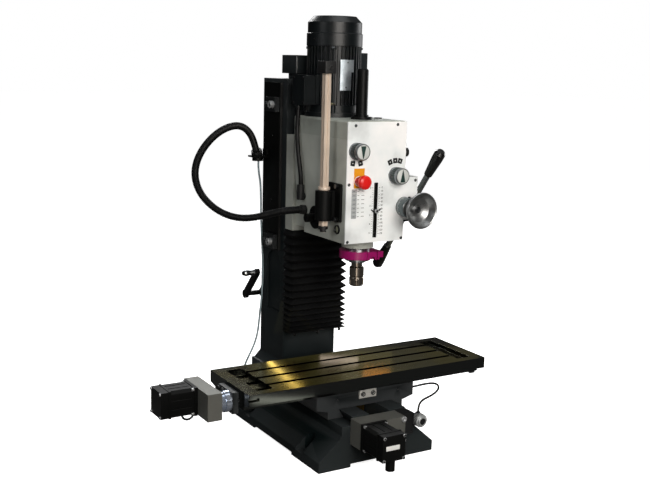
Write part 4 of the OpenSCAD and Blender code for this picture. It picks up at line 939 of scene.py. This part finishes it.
NOTCH_ANGLE, NOTCH_TOP = -82.7, 1099
plate_angles = [*np.linspace(-107.8, NOTCH_ANGLE, 9), *np.linspace(NOTCH_ANGLE, -76.8, 3)[1:]]
plate_heights = [1047, 1064, 1082, NOTCH_TOP, 1116, 1134]
bare_plate = bent(plate_angles, plate_heights, 80.3, 0.9, lambda a, h: a < NOTCH_ANGLE or h > NOTCH_TOP)
piece("bare_motor_plate", bare_plate, rating_steel, "head", 60)
rivet = turned([(0, -0.5), (2.2, -0.5), (2.2, 0.3), (1.2, 0.9), (0, 1.0)], 16)
rivets = []
for degrees, height in ((-92, 1126), (-95, 1056)):
    at = on_motor(81.2, degrees, height)
    rivets.append(place(rivet, at, (at[0], at[1] - MOTOR_Y, 0)))
piece("plate_rivets", joined(*rivets), dark_zinc, "head")
print("plate cells", len(plate_angles) - 1)

# %% Tie-rod nuts
TIE_RODS = (58.5, 148.5, 238.5, 328.5)
nut = turned([(4.3, 0), (7.4, 0, 6), (8.0, 0.8, 6), (8.0, 6.2, 6), (7.4, 7, 6), (4.3, 7)])
for level, height, finish in (("foot", 1004.6, yellow_zinc), ("top", 1163, dark_zinc)):
    nuts = joined(*[place(nut, on_motor(75.5, degrees, height)) for degrees in TIE_RODS])
    piece("tie_rod_" + level + "_nuts", nuts, finish, "head")
print("nuts", 2 * len(TIE_RODS))

# %% Sight glass, filler plug and guard rod ends
GLASS_AT = (-97, -187, 668)
bezel = turned([(0, -2), (13.4, -2), (13.4, 2.4), (12.6, 3.4), (10.2, 3.4), (9.4, 2.2), (9.2, 0.6)], 48)
piece("sight_glass_ring", place(bezel, GLASS_AT, LEFT), dark_steel, "head")
lens_cap = turned([(9.2, -1.4), (9.2, 0.8), (6.5, 1.7), (3.0, 2.1), (0, 2.2)], 48)
piece("sight_glass", place(lens_cap, GLASS_AT, LEFT), oil_glass, "head")
plug = turned([(0, -2), (11.5, -2), (11.5, 2.2), (10.8, 3.0), (4.6, 3.0), (4.2, 2.6, 6), (4.2, 0.6, 6),
               (0, 0.6)])
piece("filler_plug", place(plug, (75, -114, 970)), black_plastic, "head")
block = place(pressed(rounded(33.6, 43.6, 1.0), 33, 0.6), (ROD_X, ROD_Y, 1095.6))
knob = place(cap_screw(5.0, 4.0), (ROD_X, -185.6, 1112), FRONT)
piece("guard_rod_block", joined(block, knob), black_plastic, "guard_rod")
foot = turned([(0, 659.8), (7.6, 659.8), (8.6, 660.8), (8.6, 667.4), (13.4, 668), (13.4, 676), (12.6, 677),
               (0, 677)])
piece("guard_rod_plug", place(foot, (ROD_X, ROD_Y, 0)), black_plastic, "guard_rod")
print("head fittings placed")

# %% [markdown]
# ## Drives
# The front drive motor has a plain label, and it and the one at the end of the table have bright end
# screws. The switch box on the front carries a bright round connector with a fluted ring, and nuts
# close the conduit's two glands. The lid of the upper belt box carries a pale strip down its corner,
# a painted highlight.

# %% Labels, connector and glands
label = place(pressed(rounded(44, 13, 1.0, 3), 0.6, 0.15), (-60, -443.5, 110), FRONT)
piece("y_motor_label", label, white_abs, "frame")
ring = turned([(2.9, -2), (4.3, -2), (4.3, 2.4), (3.9, 2.9), (2.9, 2.9)], 24)
rear = [place(ring, (x, -443.5, z), FRONT) for x, z in square(Y_MOTOR, END_HALF)]
piece("y_motor_end_screws", joined(*rear), screw_steel, "frame")
rear = [place(ring, (-599, y, z), LEFT) for y, z in square(X_MOTOR, END_HALF)]
piece("x_motor_end_screws", joined(*rear), screw_steel, "table")
shell = turned([(12.0, 25.4), (13.6, 25.4), (13.6, 32.2), (12.8, 33.0), (10.0, 33.0),
                (9.0, 30.5), (0, 30.5)], 48)
grip = fluted(18.6, 19.7, 2.0, 22.0, 28, 12)
collar = turned([(12, 21.8), (19.2, 21.8), (19.2, 25.0), (18.2, 26.3), (12, 26.3)], 48)
connector = joined(*[place(part, (118, -302.5, 118), FRONT) for part in (shell, grip, collar)])
piece("round_connector", connector, connector_zinc, "frame")
gland_nut = turned([(12.4, 0), (14.6, 0, 6), (15.4, 1, 6), (15.4, 10, 6), (14.2, 11.5, 6), (12.4, 11.5)])
piece("head_gland_nut", place(gland_nut, (-99, -4, 699), LEFT), black_plastic, "head")
clamp_nut = turned([(15.4, 0), (18.0, 0, 6), (19.0, 1, 6), (19.0, 11, 6), (17.6, 12.5, 6), (15.4, 12.5)])
tilt = math.radians(28)
lean = Vector((-0.86, -0.51, 0)).normalized() * math.sin(tilt) + Vector((0, 0, math.cos(tilt)))
clamp_nut = place(clamp_nut, Vector((-123, 258, 834)) + lean * 5, lean)
piece("clamp_gland_nut", clamp_nut, black_plastic, "frame")
print("connector and glands placed")

# %% Belt box lid
stepped = [(-125.5, -27), (125.5, -27), (125.5, 39), (37.5, 39), (37.5, 27), (-125.5, 27)]
lid = place(pressed(stepped, 2.6, 0.5), (64.2, 130.2, 1117.5), FRONT)
piece("z_box_lid", lid, column_enamel, "frame")
# A pale strip down the lid's corner: a painted highlight.
edge = place(pressed(rounded(3.4, 50, 0.6, 3), 0.8, 0.3), (-61.8, 128.4, 1117), LEFT)
piece("z_box_lid_painted_highlight", edge, painted_highlight_edge, "frame")
print("lid placed")

# %% [markdown]
# ## Floor and light
# A product picture on white has a bright sweep below and behind. Dark enamel only looks black when what
# it mirrors is dark, so floor and surroundings are white for the camera alone and dim for everything
# else. One large soft box in front gives the panel its white, and weaker ones above, behind and on both
# sides fill the rest. The small cards are there for their reflections: they put the streaks on the
# ground table, a bright line on its front edge and another down the chuck.

# %% Floor
bpy.ops.mesh.primitive_plane_add(size=60)
floor = bpy.context.object
floor.name = "studio_floor"
floor_paper, tree = blank("white_paper_sweep")
ray = add(tree, "LightPath")
where = add(tree, "TexCoord")
fibre = noise(tree, where.outputs["Object"], 400, 2.0)
paper = ramp(tree, fibre, [(0.3, tint("#fafafa")), (0.7, tint("#ffffff"))])
bright = add(tree, "BsdfPrincipled", {"Base Color": paper, "Roughness": 1.0, "Specular IOR Level": 0.0,
                                      "Emission Color": grey(1), "Emission Strength": 0.86})
dim = add(tree, "BsdfDiffuse", {"Color": grey(0.10)})
both = add(tree, "MixShader", {"Fac": ray.outputs["Is Camera Ray"], 1: dim.outputs["BSDF"],
                               2: bright.outputs["BSDF"]})
add(tree, "OutputMaterial", {"Surface": both.outputs["Shader"]})
floor.data.materials.append(floor_paper)
print("floor ready")

# %% Surroundings
world = bpy.data.worlds.new("studio")
bpy.context.scene.world = world
world.use_nodes = True
tree = world.node_tree
tree.nodes.clear()
ray = add(tree, "LightPath")
where = add(tree, "TexCoord")
height = add(tree, "SeparateXYZ", {"Vector": where.outputs["Generated"]})
dome = ramp(tree, height.outputs["Z"], [(0.0, grey(0.02)), (0.35, grey(0.04)), (1.0, grey(0.25))])
seen = mixed(tree, ray.outputs["Is Camera Ray"], dome, grey(1))
back = add(tree, "Background", {"Color": seen, "Strength": 1.0})
add(tree, "OutputWorld", {"Surface": back.outputs["Background"]})
print("surroundings ready")


# %% Soft boxes and cards
def soft_box(name, at, aim, size, watts, colour="#ffffff", lean=0):
    lamp = bpy.data.lights.new(name, "AREA")
    lamp.shape = "RECTANGLE"
    lamp.size, lamp.size_y = size
    lamp.energy = watts
    lamp.color = tint(colour)[:3]
    thing = bpy.data.objects.new(name, lamp)
    bpy.context.scene.collection.objects.link(thing)
    thing.location = at
    facing = (Vector(aim) - Vector(at)).to_track_quat("-Z", "Y")
    thing.rotation_euler = (facing @ Quaternion((0, 0, 1), math.radians(lean))).to_euler()
    thing.visible_camera = False


soft_box("key_box", (-0.75, -3.3, 1.75), (0.0, -0.1, 0.8), (2.0, 1.5), 108, "#fff9f2")
soft_box("top_box", (0.3, -0.4, 3.8), (0.0, 0.0, 0.2), (2.0, 1.6), 24)
soft_box("back_fill", (1.0, 3.0, 3.0), (0.0, 0.2, 0.6), (1.8, 1.2), 70)
soft_box("left_fill", (-3.2, -0.4, 2.0), (0.0, 0.0, 0.8), (1.2, 1.2), 16)
soft_box("right_fill", (3.4, 0.5, 1.2), (0.0, 0.0, 0.6), (1.6, 1.6), 34)
soft_box("near_sheen", (0.03, 0.042, 0.33), (-0.06, -0.16, 0.252), (0.40, 0.12), 0.022, "#c8c07c")
soft_box("long_sheen", (0.16, 0.041, 0.33), (0.06, -0.16, 0.252), (0.74, 0.12), 0.036, "#c4bb80")
soft_box("gold_card", (-0.128, 0.04, 0.327), (-0.235, -0.15, 0.252), (0.15, 0.012), 0.034, "#ffdc7a", 138)
soft_box("white_card", (0.062, 0.04, 0.298), (-0.03, -0.10, 0.252), (0.12, 0.02), 0.010, "#ffe9e0")
soft_box("amber_card", (0.205, 0.04, 0.368), (0.0, -0.26, 0.252), (0.085, 0.012), 0.010, "#ff9a3c")
soft_box("edge_card", (-0.005, -0.785, 0.011), (-0.29, -0.264, 0.23), (0.22, 0.019), 0.045, "#f4f0e2")
soft_box("chuck_card", (-0.455, -0.90, 0.37), (0.0, -0.142, 0.53), (0.28, 0.3), 0.4, "#fff0e2")
bpy.context.scene.view_settings.view_transform = "Standard"
print("lights:", len(bpy.data.lights))
